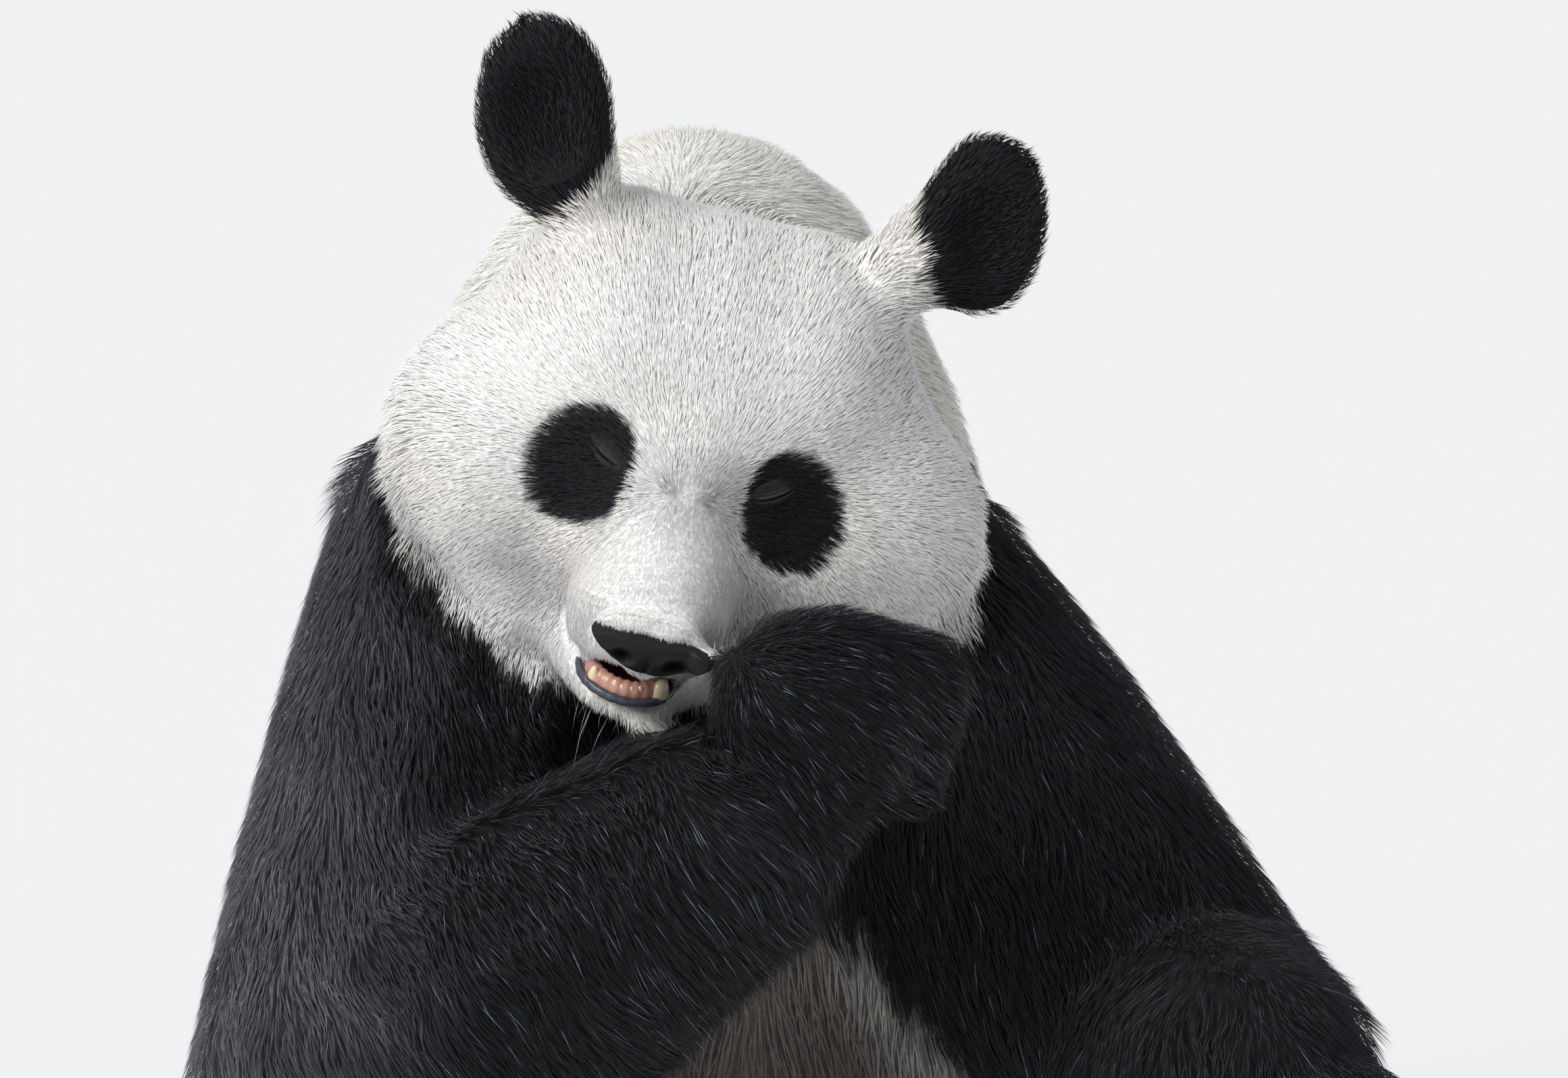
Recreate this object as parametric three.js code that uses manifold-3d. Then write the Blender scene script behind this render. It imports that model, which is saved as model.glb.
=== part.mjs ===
// A giant panda sitting on the floor with its eyes closed and its right paw held to its mouth.
// Millimetres, +Z up. It faces -Y, so its own left side is towards +X. Each solid reaches out to
// the tips of the coat, and each is kept a thin gap clear of the ones made before it.
import * as THREE from 'three';
import { mergeVertices } from 'three/addons/utils/BufferGeometryUtils.js';
import Module from 'manifold-3d';

const wasm = await Module();
wasm.setup();

// ---- Driving dimensions ----
const gap = 0.3;                // clearance between pieces that touch
const sides = [['left', 1], ['right', -1]];

const headPose = { at: [-54, -140, 739], nod: 13, tilt: 15, turn: 3 };   // between the eyes
const eyeApart = 97;            // centre to centre
const ears = {
  left: { at: [129, 100, 147], half: [38, 20, 57], lean: -12 },
  right: { at: [-122, 100, 149], half: [42, 20, 61], lean: -16 },
};
const noseWidth = 66;
const muzzleShift = -7;         // nose and mouth sit a little to the right of the eyes' middle

const shoulder = { left: [54, 20, 596], right: [-150, 20, 650] };
const elbow = { left: [216, -90, 398], right: [-214, -172, 424] };
const wrist = { left: [256, -258, 436], right: [-24, -252, 574] };
const hip = { left: [146, 96, 142], right: [-152, 96, 142] };
const knee = { left: [236, -162, 246], right: [-262, -122, 192] };
const ankle = { left: [264, -286, 98], right: [-298, -304, 86] };
const armRadius = { shoulder: 114, elbow: { left: 104, right: 118 },
  wrist: { left: 72, right: 70 } };
const legRadius = { hip: 150, knee: 116, ankle: 80 };

const paws = {
  hand_left: { at: [284, -316, 420], toes: [0.16, -0.95, -0.3], back: [0.1, -0.3, 0.95],
    length: 156, width: 128, height: 96, curl: 30, claw: 38 },
  hand_right: { at: [28, -262, 644], toes: [0.94, 0.03, -0.27], back: [-0.2, -0.95, 0.25],
    length: 138, width: 114, height: 100, curl: 62, claw: 38 },
  hind_foot_left: { at: [272, -366, 43], toes: [0.18, -0.98, -0.02], back: [0, 0, 1],
    length: 204, width: 134, height: 100, curl: 8, claw: 30 },
  hind_foot_right: { at: [-320, -364, 94], toes: [-0.3, -0.42, 0.86], back: [0.1, 0.9, 0.44],
    length: 204, width: 134, height: 100, curl: 8, claw: 30 },
};

const finishes = {
  black: { color: 0x16171a, roughness: 0.9 },
  white: { color: 0xd9d5cc, roughness: 0.95 },
  dusky: { color: 0x7d746a, roughness: 0.95 },
  lid: { color: 0x2b2a2c, roughness: 0.75 },
  nose: { color: 0x1c1b1d, roughness: 0.45 },
  pad: { color: 0x2a2524, roughness: 0.8 },
  claw: { color: 0x3a342e, roughness: 0.5 },
  tooth: { color: 0xd8cba6, roughness: 0.4 },
};

// ---- Shapes: each is a function giving the distance from a point to its surface ----
const vector = (list) => new THREE.Vector3(...list);

function turned(degrees) {
  const [x, y, z] = degrees.map(THREE.MathUtils.degToRad);
  return new THREE.Quaternion().setFromEuler(new THREE.Euler(x, y, z, 'ZYX'));
}

function ball(at, size, turn = [0, 0, 0]) {
  const unit = new THREE.Vector3(1, 1, 1);
  const inverse = new THREE.Matrix4().compose(vector(at), turned(turn), unit).invert();
  const local = new THREE.Vector3();
  return (point) => {
    local.copy(point).applyMatrix4(inverse);
    const ratio = Math.hypot(local.x / size[0], local.y / size[1], local.z / size[2]);
    const slope = Math.hypot(local.x / size[0] ** 2, local.y / size[1] ** 2,
      local.z / size[2] ** 2);
    return slope > 1e-9 ? ratio * (ratio - 1) / slope : -Math.min(...size);
  };
}

function taper(from, to, startRadius, endRadius) {
  const start = vector(from);
  const along = vector(to).sub(start);
  const local = new THREE.Vector3();
  return (point) => {
    local.copy(point).sub(start);
    const t = THREE.MathUtils.clamp(local.dot(along) / along.lengthSq(), 0, 1);
    return local.addScaledVector(along, -t).length() - THREE.MathUtils.lerp(startRadius, endRadius, t);
  };
}

// A smooth union: its surface fills the crease between the shapes over about this width.
function blend(width, ...shapes) {
  return (point) => -width * Math.log(shapes.reduce(
    (sum, shape) => sum + Math.exp(-shape(point) / width), 0));
}

// A smooth hollow: the shape with another one pressed into it.
function dent(width, shape, ...hollows) {
  return (point) => width * Math.log(hollows.reduce(
    (sum, hollow) => sum + Math.exp(-hollow(point) / width), Math.exp(shape(point) / width)));
}

// Which way the distance grows at a point, from steps of half a millimetre.
function gradient(shape, point) {
  const step = (x, y, z) => shape(new THREE.Vector3(x, y, z).multiplyScalar(0.5).add(point));
  return new THREE.Vector3(step(1, 0, 0) - step(-1, 0, 0), step(0, 1, 0) - step(0, -1, 0),
    step(0, 0, 1) - step(0, 0, -1));
}

// ---- Solids ----
function merge(geometry) {
  geometry.deleteAttribute('normal');
  geometry.deleteAttribute('uv');
  return mergeVertices(geometry, 1e-3);
}

function toSolid(geometry) {
  const merged = merge(geometry);
  return new wasm.Manifold(new wasm.Mesh({
    numProp: 3,
    vertProperties: new Float32Array(merged.attributes.position.array),
    triVerts: new Uint32Array(merged.index.array),
  }));
}

// Each step moves every corner to the middle of its neighbours and then back onto the surface,
// which spreads the corners evenly and lets them into the creases.
function relax(geometry, shape, steps) {
  const spots = geometry.attributes.position;
  const corners = geometry.index.array;
  const around = Array.from({ length: spots.count }, () => new Set());
  for (let i = 0; i < corners.length; i += 3) {
    const triangle = corners.slice(i, i + 3);
    triangle.forEach((corner) => triangle.forEach((other) => around[corner].add(other)));
  }
  const spot = new THREE.Vector3();
  for (let step = 0; step < steps; step += 1) {
    const before = spots.clone();
    around.forEach((near, i) => {
      const middle = new THREE.Vector3();
      near.forEach((other) => middle.add(spot.fromBufferAttribute(before, other)));
      middle.divideScalar(near.size);
      const slope = gradient(shape, middle);
      middle.addScaledVector(slope, -shape(middle) / slope.lengthSq());
      spots.setXYZ(i, ...middle.toArray());
    });
  }
}

// Rays leave a core line in all directions and each ends where it first leaves the shape. The
// ball that gives the rays may be made of rings about the core line, which suits long forms.
// Swell moves the finished surface out by the same amount everywhere.
function wrap(shape, core, ball, swell = 0, steps = 0) {
  const geometry = merge(ball.clone());
  const spots = geometry.attributes.position;
  const [start, end] = core.map(vector);
  const axis = end.clone().sub(start).normalize();
  geometry.applyQuaternion(new THREE.Quaternion().setFromUnitVectors(up, axis));
  const ray = new THREE.Vector3();
  const from = new THREE.Vector3();
  const spot = new THREE.Vector3();
  for (let i = 0; i < spots.count; i += 1) {
    ray.fromBufferAttribute(spots, i).normalize();
    from.lerpVectors(start, end, 0.5 + 0.5 * ray.dot(axis));
    let far = 0;
    let inside = Infinity;
    while (inside > 0.01) {
      inside = -shape(spot.copy(from).addScaledVector(ray, far));
      far += Math.max(0.6 * inside, 0.005);
    }
    spots.setXYZ(i, ...spot.toArray());
  }
  relax(geometry, shape, steps);
  for (let i = 0; i < spots.count; i += 1) {
    spot.fromBufferAttribute(spots, i);
    spot.addScaledVector(gradient(shape, spot).normalize(), swell);
    spots.setXYZ(i, ...spot.toArray());
  }
  return toSolid(geometry);
}

const up = new THREE.Vector3(0, 1, 0);
const even = (detail) => new THREE.IcosahedronGeometry(1, detail);
const rings = (around, along) => new THREE.SphereGeometry(1, around, along);

function largest(solid) {
  return solid.decompose().sort((a, b) => b.volume() - a.volume())[0];
}

function slab(width, depth, height, at) {
  return toSolid(new THREE.BoxGeometry(width, depth, height).translate(...at));
}

const floor = slab(3000, 3000, 400, [0, 0, -200]);

// ---- Assembly: a piece gives way to the grown form of each piece made before it ----
const panda = new THREE.Group();
const grown = [];

const matrixOf = (group) => {
  group.updateWorldMatrix(true, false);
  return group.matrixWorld.clone();
};

function addMesh(group, name, finish, solid) {
  const matrix = matrixOf(group);
  const placed = solid.transform(matrix.elements.slice()).subtract(floor);
  const fitted = largest(grown.reduce((rest, other) => rest.subtract(other), placed));
  const data = fitted.transform(matrix.invert().elements.slice()).getMesh();
  const geometry = new THREE.BufferGeometry();
  geometry.setAttribute('position', new THREE.BufferAttribute(data.vertProperties, 3));
  geometry.setIndex(new THREE.BufferAttribute(data.triVerts, 1));
  const material = new THREE.MeshStandardMaterial({ ...finishes[finish], metalness: 0 });
  const mesh = new THREE.Mesh(geometry, material);
  mesh.name = name;
  group.add(mesh);
}

function keepClearOf(group, solid) {
  grown.push(solid.transform(matrixOf(group).elements.slice()));
}

function add(group, name, finish, build, cuts = []) {
  addMesh(group, name, finish, cuts.reduce((rest, cut) => rest.subtract(cut), build(0)));
  keepClearOf(group, build(gap));
}

const wrapped = (shape, core, ball, steps) => (swell) => wrap(shape, core, ball, swell, steps);

// ---- Paws: toes towards -Y and the back of the paw towards +Z in the paw's own frame ----
function pawGroup({ at, toes, back }) {
  const y = vector(toes).normalize().negate();
  const x = y.clone().cross(vector(back)).normalize();
  const group = new THREE.Group();
  group.position.set(...at);
  group.quaternion.setFromRotationMatrix(new THREE.Matrix4().makeBasis(x, y, x.clone().cross(y)));
  panda.add(group);
  return group;
}

// A claw is a cone, flattened from side to side and bent down along an arc.
function claw(at, pitch, length, swell) {
  const radius = length * 0.19 + swell;
  const sweep = 0.9;
  const bend = length / sweep;
  const cone = new THREE.ConeGeometry(radius, length + 2 * swell, 6, 2);
  const spots = cone.attributes.position;
  for (let i = 0; i < spots.count; i += 1) {
    const angle = (spots.getY(i) / length + 0.5) * sweep;
    const arm = bend - spots.getZ(i);
    spots.setXYZ(i, spots.getX(i) * 0.7, -arm * Math.sin(angle), arm * Math.cos(angle) - bend);
  }
  return toSolid(cone.rotateX(pitch).translate(...at));
}

// Toe i of a paw bends down from its knuckle; along gives a point this far out on its line.
function toeLine({ length, width, height, curl }, i) {
  const bend = THREE.MathUtils.degToRad(curl);
  const knuckle = [(i - 2) * width * 0.185, ((i - 2) ** 2 * 0.014 - 0.26) * length, -height * 0.04];
  return (distance) => [knuckle[0], knuckle[1] - distance * Math.cos(bend),
    knuckle[2] - distance * Math.sin(bend)];
}

function clawsAndPad(name) {
  const size = paws[name];
  const { length, width, height } = size;
  for (let i = 0; i < 5; i += 1) {
    const base = toeLine(size, i)(length * 0.2);
    const pitch = THREE.MathUtils.degToRad(size.curl) + 0.12;
    add(pawGroups[name], `claw_${name}_${i + 1}`, 'claw',
      (swell) => claw(base, pitch, size.claw, swell));
  }
  const under = [0, -length * 0.04, -height * 0.36];
  const sole = ball(under, [width * 0.36, length * 0.2, height * 0.15]);
  add(pawGroups[name], `pad_${name}`, 'pad', wrapped(sole, [under, [0, 0, under[2]]], even(1)));
}

function paw(name) {
  const size = paws[name];
  const { length, width, height } = size;
  const toes = [0, 1, 2, 3, 4].map((i) => ball(toeLine(size, i)(length * 0.13),
    [width * 0.125, length * 0.15, height * 0.3], [size.curl, 0, 0]));
  const palm = ball([0, length * 0.02, 0], [width * 0.5, length * 0.4, height * 0.46]);
  const heel = ball([0, length * 0.26, 0], [width * 0.36, length * 0.26, height * 0.44]);
  add(pawGroups[name], name, 'black',
    wrapped(blend(5, palm, heel, ...toes), [[0, length * 0.2, 0], [0, -length * 0.2, 0]], even(3)));
}

const pawGroups = Object.fromEntries(
  Object.entries(paws).map(([name, place]) => [name, pawGroup(place)]));

// ---- Head, in its own frame: the middle between the eyes is its origin ----
const head = new THREE.Group();
head.position.set(...headPose.at);
head.quaternion.copy(turned([headPose.nod, 0, 0]));
head.quaternion.premultiply(turned([0, headPose.tilt, 0])).premultiply(turned([0, 0, headPose.turn]));
panda.add(head);
const muzzle = new THREE.Group();
muzzle.position.x = muzzleShift;
head.add(muzzle);

function nosePad() {
  const half = noseWidth / 2;
  const body = blend(3,
    ball([0, -108, -45], [half, 13, 15]),
    ball([-half * 0.45, -109, -43], [half * 0.55, 12, 13]),
    ball([half * 0.45, -109, -43], [half * 0.55, 12, 13]),
    ball([0, -108, -56], [12, 10, 15]));
  const nostrils = sides.map(([, s]) => {
    const at = [s * half * 0.42, -122, -47];
    return wrap(ball(at, [half * 0.2, 8, 4.5], [0, s * 20, 0]), [at, [at[0], -121, at[2]]], even(1));
  });
  add(muzzle, 'nose', 'nose', wrapped(body, [[-14, -108, -46], [14, -108, -46]], even(2)), nostrils);
}

function eye(side, s) {
  const at = [s * eyeApart / 2, 1, 8];
  const shape = ball(at, [17, 13, 12], [10, s * 28, s * -22]);
  add(head, `eye_${side}`, 'lid', wrapped(shape, [at, [at[0], at[1] - 1, at[2]]], even(1)));
}

function ear(side, s) {
  const { at, half } = ears[side];
  const lean = [-8, ears[side].lean, s * -14];
  const rim = ball(at, half, lean);
  const root = taper([s * 90, 98, 106], [s * 106, 99, 126], 26, 30);
  const inner = [at[0] + s * 2, at[1] - 25, at[2] + 4];
  const hollow = wrap(ball(inner, [half[0] * 0.66, 17, half[2] * 0.68], lean),
    [inner, [inner[0], at[1] - 23, inner[2]]], even(1));
  const core = [[s * 106, 97, 118], [at[0], 100, at[2] + 6]];
  add(head, `ear_${side}`, 'black', wrapped(blend(4, rim, root), core, even(3)), [hollow]);
}

// Lower gum with its teeth: an arched bar, six small front teeth and two canines, all one solid.
function lowerTeeth() {
  const bite = { y: -66, z: -92, radius: 25, half: 1.2 };
  const arch = (angle) => [bite.radius * Math.sin(angle), bite.y - bite.radius * Math.cos(angle)];
  const build = (swell) => {
    const bar = new THREE.Shape();
    const [from, to] = [-1, 1].map((s) => -Math.PI / 2 + s * (bite.half + swell / bite.radius));
    bar.absarc(0, 0, bite.radius + 5 + swell, from, to, false);
    bar.absarc(0, 0, bite.radius - 5 - swell, to, from, true);
    const gum = new THREE.ExtrudeGeometry(bar,
      { depth: 9 + 2 * swell, bevelEnabled: false, curveSegments: 4 });
    const teeth = [];
    for (let i = 0; i < 6; i += 1) {
      const [x, y] = arch((i - 2.5) * 0.24);
      const core = [[x, y, bite.z + 4], [x, y, bite.z + 6]];
      teeth.push(wrap(ball([x, y, bite.z + 5], [3, 2.4, 7]), core, even(0), swell));
    }
    for (const [, s] of sides) {
      const [x, y] = arch(s * 0.92);
      const core = [[x, y, bite.z], [x + s * 2, y - 2, bite.z + 13]];
      teeth.push(wrap(taper(...core, 5.4, 2.2), core, even(1), swell));
    }
    return teeth.reduce((sum, tooth) => sum.add(tooth),
      toSolid(gum.translate(0, bite.y, bite.z - 6 - swell)));
  };
  add(muzzle, 'lower_teeth', 'tooth', build);
}

function jawAndSkull() {
  const gapeAt = [muzzleShift, -76, -83];
  const gape = wrap(ball(gapeAt, [30, 30, 10], [-6, 0, 0]), [gapeAt, [muzzleShift, -75, -83]], even(2));
  const jaw = blend(8,
    ball([muzzleShift, -52, -99], [34, 43, 17], [-6, 0, 0]),
    ball([0, -8, -100], [56, 52, 28]));
  add(head, 'lower_jaw', 'white', wrapped(jaw, [[0, 0, -100], [muzzleShift, -60, -100]], even(2)), [gape]);

  const pairs = sides.flatMap(([, s]) => [
    ball([s * 54, 98, 12], [66, 100, 98]),                  // temple
    ball([s * 88, 64, -36], [77, 82, 81], [0, s * 12, 0]),  // cheek
    ball([s * 62, 22, -104], [36, 44, 34]),                 // long hair below the cheek
    ball([s * 38, 36, 30], [44, 36, 38]),                   // brow
    ball([muzzleShift + s * 21, -76, -60], [25, 32, 20]),   // upper lip
  ]);
  const skull = blend(9, ...pairs,
    ball([0, 94, 12], [64, 100, 96]),                       // crown
    ball([0, 12, -4], [26, 40, 34]),                        // bridge of the nose
    ball([112, 58, -40], [72, 66, 70]),                     // cheek pushed out by the paw
    taper([0, 30, -34], [muzzleShift, -68, -50], 66, 33),   // muzzle
    ball([0, 44, -84], [92, 72, 50]));                      // throat
  const sockets = sides.map(([, s]) => ball([s * 54, -31, 3], [26, 22, 24], [0, s * 20, 0]));
  const shape = dent(5, skull, ...sockets);
  add(head, 'head', 'white', wrapped(shape, [[0, -20, -34], [0, 96, 0]], even(6), 25), [gape]);
}

// ---- Limbs ----
function limb(name, from, to, startRadius, endRadius) {
  const shape = taper(from, to, startRadius, endRadius);
  add(panda, name, 'black', wrapped(shape, [from, to], rings(12, 7)));
}

// ---- Trunk ----
// The torso is one smooth form from the rump to the nape, parted by level cuts.
function trunk() {
  const shape = blend(22,
    ball([-6, 120, 150], [274, 206, 170]),      // rump
    ball([-14, 78, 290], [272, 196, 200]),      // belly
    ball([-40, 88, 520], [188, 170, 170]),      // chest
    ball([-46, 10, 590], [120, 104, 110]),      // throat
    ball([-54, 92, 690], [147, 128, 194]),      // nape
    ball([-122, 62, 630], [96, 104, 146]),      // right side of the neck
    ball([24, 62, 600], [92, 104, 146]));       // left side of the neck
  const torso = wrapped(shape, [[-10, 100, 170], [-48, 76, 690]], rings(20, 18));
  const tailAt = [2, 314, 82];
  const tail = ball(tailAt, [52, 38, 66], [-28, 0, 0]);
  add(panda, 'tail', 'white', wrapped(tail, [tailAt, [2, 314, 78]], even(2)));
  const bands = [['rump', 'white', -20, 205], ['belly', 'dusky', 205, 470],
    ['chest', 'black', 470, 655], ['neck', 'white', 655, 1000]];
  for (const [name, finish, low, high] of bands) {
    const band = slab(1000, 1000, high - low - gap, [0, 0, (low + high) / 2]);
    addMesh(panda, name, finish, torso(0).intersect(band));
  }
  keepClearOf(panda, torso(gap));
}

// The hard pieces come first and stay whole. Then the flesh, from the largest to the finest.
for (const name of Object.keys(paws)) clawsAndPad(name);
nosePad();
for (const [side, s] of sides) eye(side, s);
lowerTeeth();
trunk();
for (const [side] of sides) {
  limb(`thigh_${side}`, hip[side], knee[side], legRadius.hip, legRadius.knee);
  limb(`upper_arm_${side}`, shoulder[side], elbow[side], armRadius.shoulder, armRadius.elbow[side]);
  limb(`shank_${side}`, knee[side], ankle[side], legRadius.knee, legRadius.ankle);
  limb(`forearm_${side}`, elbow[side], wrist[side], armRadius.elbow[side],
    armRadius.wrist[side]);
}
jawAndSkull();
for (const [side, s] of sides) ear(side, s);
for (const name of Object.keys(paws)) paw(name);

// The origin is under the middle of the whole animal, on the floor.
const box = new THREE.Box3().setFromObject(panda, true);
const middle = box.getCenter(new THREE.Vector3());
panda.position.set(-middle.x, -middle.y, -box.min.z);

export default panda;
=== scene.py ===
# A giant panda that sits with closed eyes and a paw at its mouth. One skin follows the solids of
# flesh, a coat of mesh tufts grows from it, and nose, lids, mouth, claws and soles are pieces of
# their own.
import math

import bpy
import numpy as np
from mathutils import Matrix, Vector


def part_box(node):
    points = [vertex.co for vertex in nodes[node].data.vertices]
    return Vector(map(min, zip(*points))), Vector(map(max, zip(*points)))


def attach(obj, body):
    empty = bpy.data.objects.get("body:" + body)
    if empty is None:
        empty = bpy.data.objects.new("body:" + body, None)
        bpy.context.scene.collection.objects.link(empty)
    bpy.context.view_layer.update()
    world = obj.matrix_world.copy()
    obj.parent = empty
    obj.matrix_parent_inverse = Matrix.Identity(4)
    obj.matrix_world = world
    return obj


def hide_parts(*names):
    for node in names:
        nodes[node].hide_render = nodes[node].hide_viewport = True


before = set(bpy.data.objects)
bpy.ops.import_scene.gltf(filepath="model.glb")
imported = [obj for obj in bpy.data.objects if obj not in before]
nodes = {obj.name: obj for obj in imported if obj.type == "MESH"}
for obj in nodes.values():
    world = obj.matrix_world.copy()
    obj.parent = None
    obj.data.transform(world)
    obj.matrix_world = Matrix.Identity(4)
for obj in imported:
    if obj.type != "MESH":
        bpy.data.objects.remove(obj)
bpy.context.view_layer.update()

mm = 0.001
random = np.random.default_rng(8)


# Each vector over its own length.
def unit(vectors):
    return vectors / np.maximum(np.linalg.norm(vectors, axis=-1, keepdims=True), 1e-12)


# 0 below start, 1 above end, and 3tt - 2ttt between them.
def ramp(values, start, end):
    t = np.clip((values - start) / (end - start), 0, 1)
    return t * t * (3 - 2 * t)


# start where share is 0, end where it is 1.
def mix(start, end, share):
    return start + (end - start) * share


mottlePlan = {"waves": 9, "pace": (0.6, 1.7), "start": (0, 6.3), "gain": 1.9}


# Mottling between about -1 and 1: the mean of some sine waves, each along its own direction.
def mottle(points, size, seed):
    waves, number = np.random.default_rng(seed), mottlePlan["waves"]
    way = unit(waves.normal(size=(number, 3)))
    along = way * waves.uniform(*mottlePlan["pace"], (number, 1)) * 2 * math.pi / size
    start = waves.uniform(*mottlePlan["start"], number)
    return np.sin(points @ along.T + start).mean(1) * mottlePlan["gain"]


# The part of each vector that lies in the surface, at length 1.
def alongSurface(vectors, normals):
    return unit(vectors - normals * (vectors * normals).sum(1, keepdims=True))


# Half the sum of the low and the high corner of a CAD node's box.
def middle(name):
    low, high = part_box(name)
    return (np.array(low) + np.array(high)) / 2


# Corner points and triangles of a mesh, with corners at one place made one.
def meshArrays(mesh):
    points = np.empty(len(mesh.vertices) * 3, np.float32)
    mesh.vertices.foreach_get("co", points)
    mesh.calc_loop_triangles()
    triangles = np.empty(len(mesh.loop_triangles) * 3, np.int32)
    mesh.loop_triangles.foreach_get("vertices", triangles)
    points = points.reshape(-1, 3).astype(float)
    _, first, same = np.unique(np.round(points, 6), axis=0, return_index=True, return_inverse=True)
    return points[first], same.reshape(-1)[triangles].reshape(-1, 3)


# The sum at each corner of the cross products of its triangles' sides, at length 1.
def cornerNormals(points, triangles):
    a, b, c = points[triangles[:, 0]], points[triangles[:, 1]], points[triangles[:, 2]]
    face = np.cross(b - a, c - a)
    at = triangles.T.reshape(-1)
    return unit(np.stack([np.bincount(at, np.tile(face[:, k], 3), len(points))
                          for k in range(3)], 1))


# A mesh object at the origin from arrays of points and of faces with the same number of corners.
def makePiece(name, points, faces, finish):
    mesh = bpy.data.meshes.new(name)
    corners = faces.shape[1]
    mesh.vertices.add(len(points))
    mesh.vertices.foreach_set("co", np.asarray(points, np.float32).reshape(-1))
    mesh.loops.add(faces.size)
    mesh.loops.foreach_set("vertex_index", faces.astype(np.int32).reshape(-1))
    mesh.polygons.add(len(faces))
    mesh.polygons.foreach_set("loop_start", np.arange(0, faces.size, corners, dtype=np.int32))
    mesh.polygons.foreach_set("use_smooth", np.ones(len(faces), bool))
    mesh.update(calc_edges=True)
    mesh.validate()
    piece = bpy.data.objects.new(name, mesh)
    bpy.context.scene.collection.objects.link(piece)
    mesh.materials.append(finish)
    return piece


# A colour for each point of a piece.
def paint(piece, colours):
    layer = piece.data.color_attributes.new("coatColour", "FLOAT_COLOR", "POINT")
    full = np.ones((len(colours), 4), np.float32)
    full[:, :3] = colours
    layer.data.foreach_set("color", full.reshape(-1))


# Puts a piece on the one body and hides the solids it stands in for.
def settle(piece, slot, *solids):
    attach(piece, "root")
    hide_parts(*solids)


# Triangles of a closed form: quads cut in two between rings of the same number of corners, and fans
# to its start and end points, which are the last two corners.
def closedFaces(rings, columns):
    ring = np.arange(columns)
    after, far = (ring + 1) % columns, (rings - 1) * columns
    low = columns * np.arange(rings - 1)[:, None]
    quads = np.stack([low + ring, low + after, low + columns + after, low + columns + ring],
                     -1).reshape(-1, 4)
    first = np.stack([np.full(columns, rings * columns), after, ring], 1)
    last = np.stack([np.full(columns, rings * columns + 1), far + ring, far + after], 1)
    return np.concatenate([quads[:, [0, 1, 2]], quads[:, [0, 2, 3]], first, last])


# Faces turned so that the form's volume, the sum of a . (b x c) / 6, is above 0.
def outward(points, faces):
    a, b, c = (points[faces[:, k]] for k in range(3))
    return faces if (a * np.cross(b, c)).sum() > 0 else faces[:, ::-1]


# A closed tube: an oval with these two half axes carried along a path, with a point at each end.
def sweep(path, across, upward, columns=12):
    turn = np.linspace(0, 2 * math.pi, columns, endpoint=False)[None, :, None]
    rings = (path[1:-1, None] + np.cos(turn) * across[1:-1, None]
             + np.sin(turn) * upward[1:-1, None])
    points = np.concatenate([rings.reshape(-1, 3), path[:1], path[-1:]])
    return points, outward(points - path.mean(0), closedFaces(len(path) - 2, columns))


# Several forms as one list of points and one of faces.
def together(forms):
    starts = np.cumsum([0] + [len(points) for points, _ in forms])
    return (np.concatenate([points for points, _ in forms]),
            np.concatenate([faces + start for (_, faces), start in zip(forms, starts)]))


# The head's own frame: millimetres from the middle between the eyes, X to the panda's left, Y to
# the back and Z to the crown.
headPlan = {"noseBelowEyes": 26.5, "eyesAt": (0, 1, 8)}  # degrees down to the nose; mm

eyeMiddle = (middle("eye_left") + middle("eye_right")) / 2
headX = unit(middle("eye_left") - middle("eye_right"))
noseWay = middle("nose") - eyeMiddle
noseWay = unit(noseWay - headX * (noseWay @ headX))
headUpGuess = np.cross(headX, -noseWay)
drop = math.radians(headPlan["noseBelowEyes"])
headY = -(noseWay * math.cos(drop) + headUpGuess * math.sin(drop))
headZ = np.cross(headX, headY)
headAxes = np.stack([headX, headY, headZ], 1)
headMiddle = eyeMiddle - headAxes @ np.array(headPlan["eyesAt"]) * mm


# Row metres to head millimetres.
def inHead(points):
    return (points - headMiddle) @ headAxes / mm


# Head millimetres to row metres.
def fromHead(points):
    return np.asarray(points, float) @ headAxes.T * mm + headMiddle


print("head frame found")


# What the fur finishes share: the noise's detail, the stretch of it that counts, and the shader's.
furPlan = {"detail": 3, "noise": (0.3, 0.7), "sheenRough": 0.4, "specular": 0.25, "ridge": 0.001}


# A new material and the parts of its tree, with these values on the shader's own sockets.
def newMaterial(name, **sockets):
    material = bpy.data.materials.new(name)
    material.use_nodes = True
    shader = material.node_tree.nodes["Principled BSDF"]
    for socket, value in sockets.items():
        shader.inputs[socket.replace("_", " ")].default_value = value
    return material, material.node_tree.nodes, material.node_tree.links, shader


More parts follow.
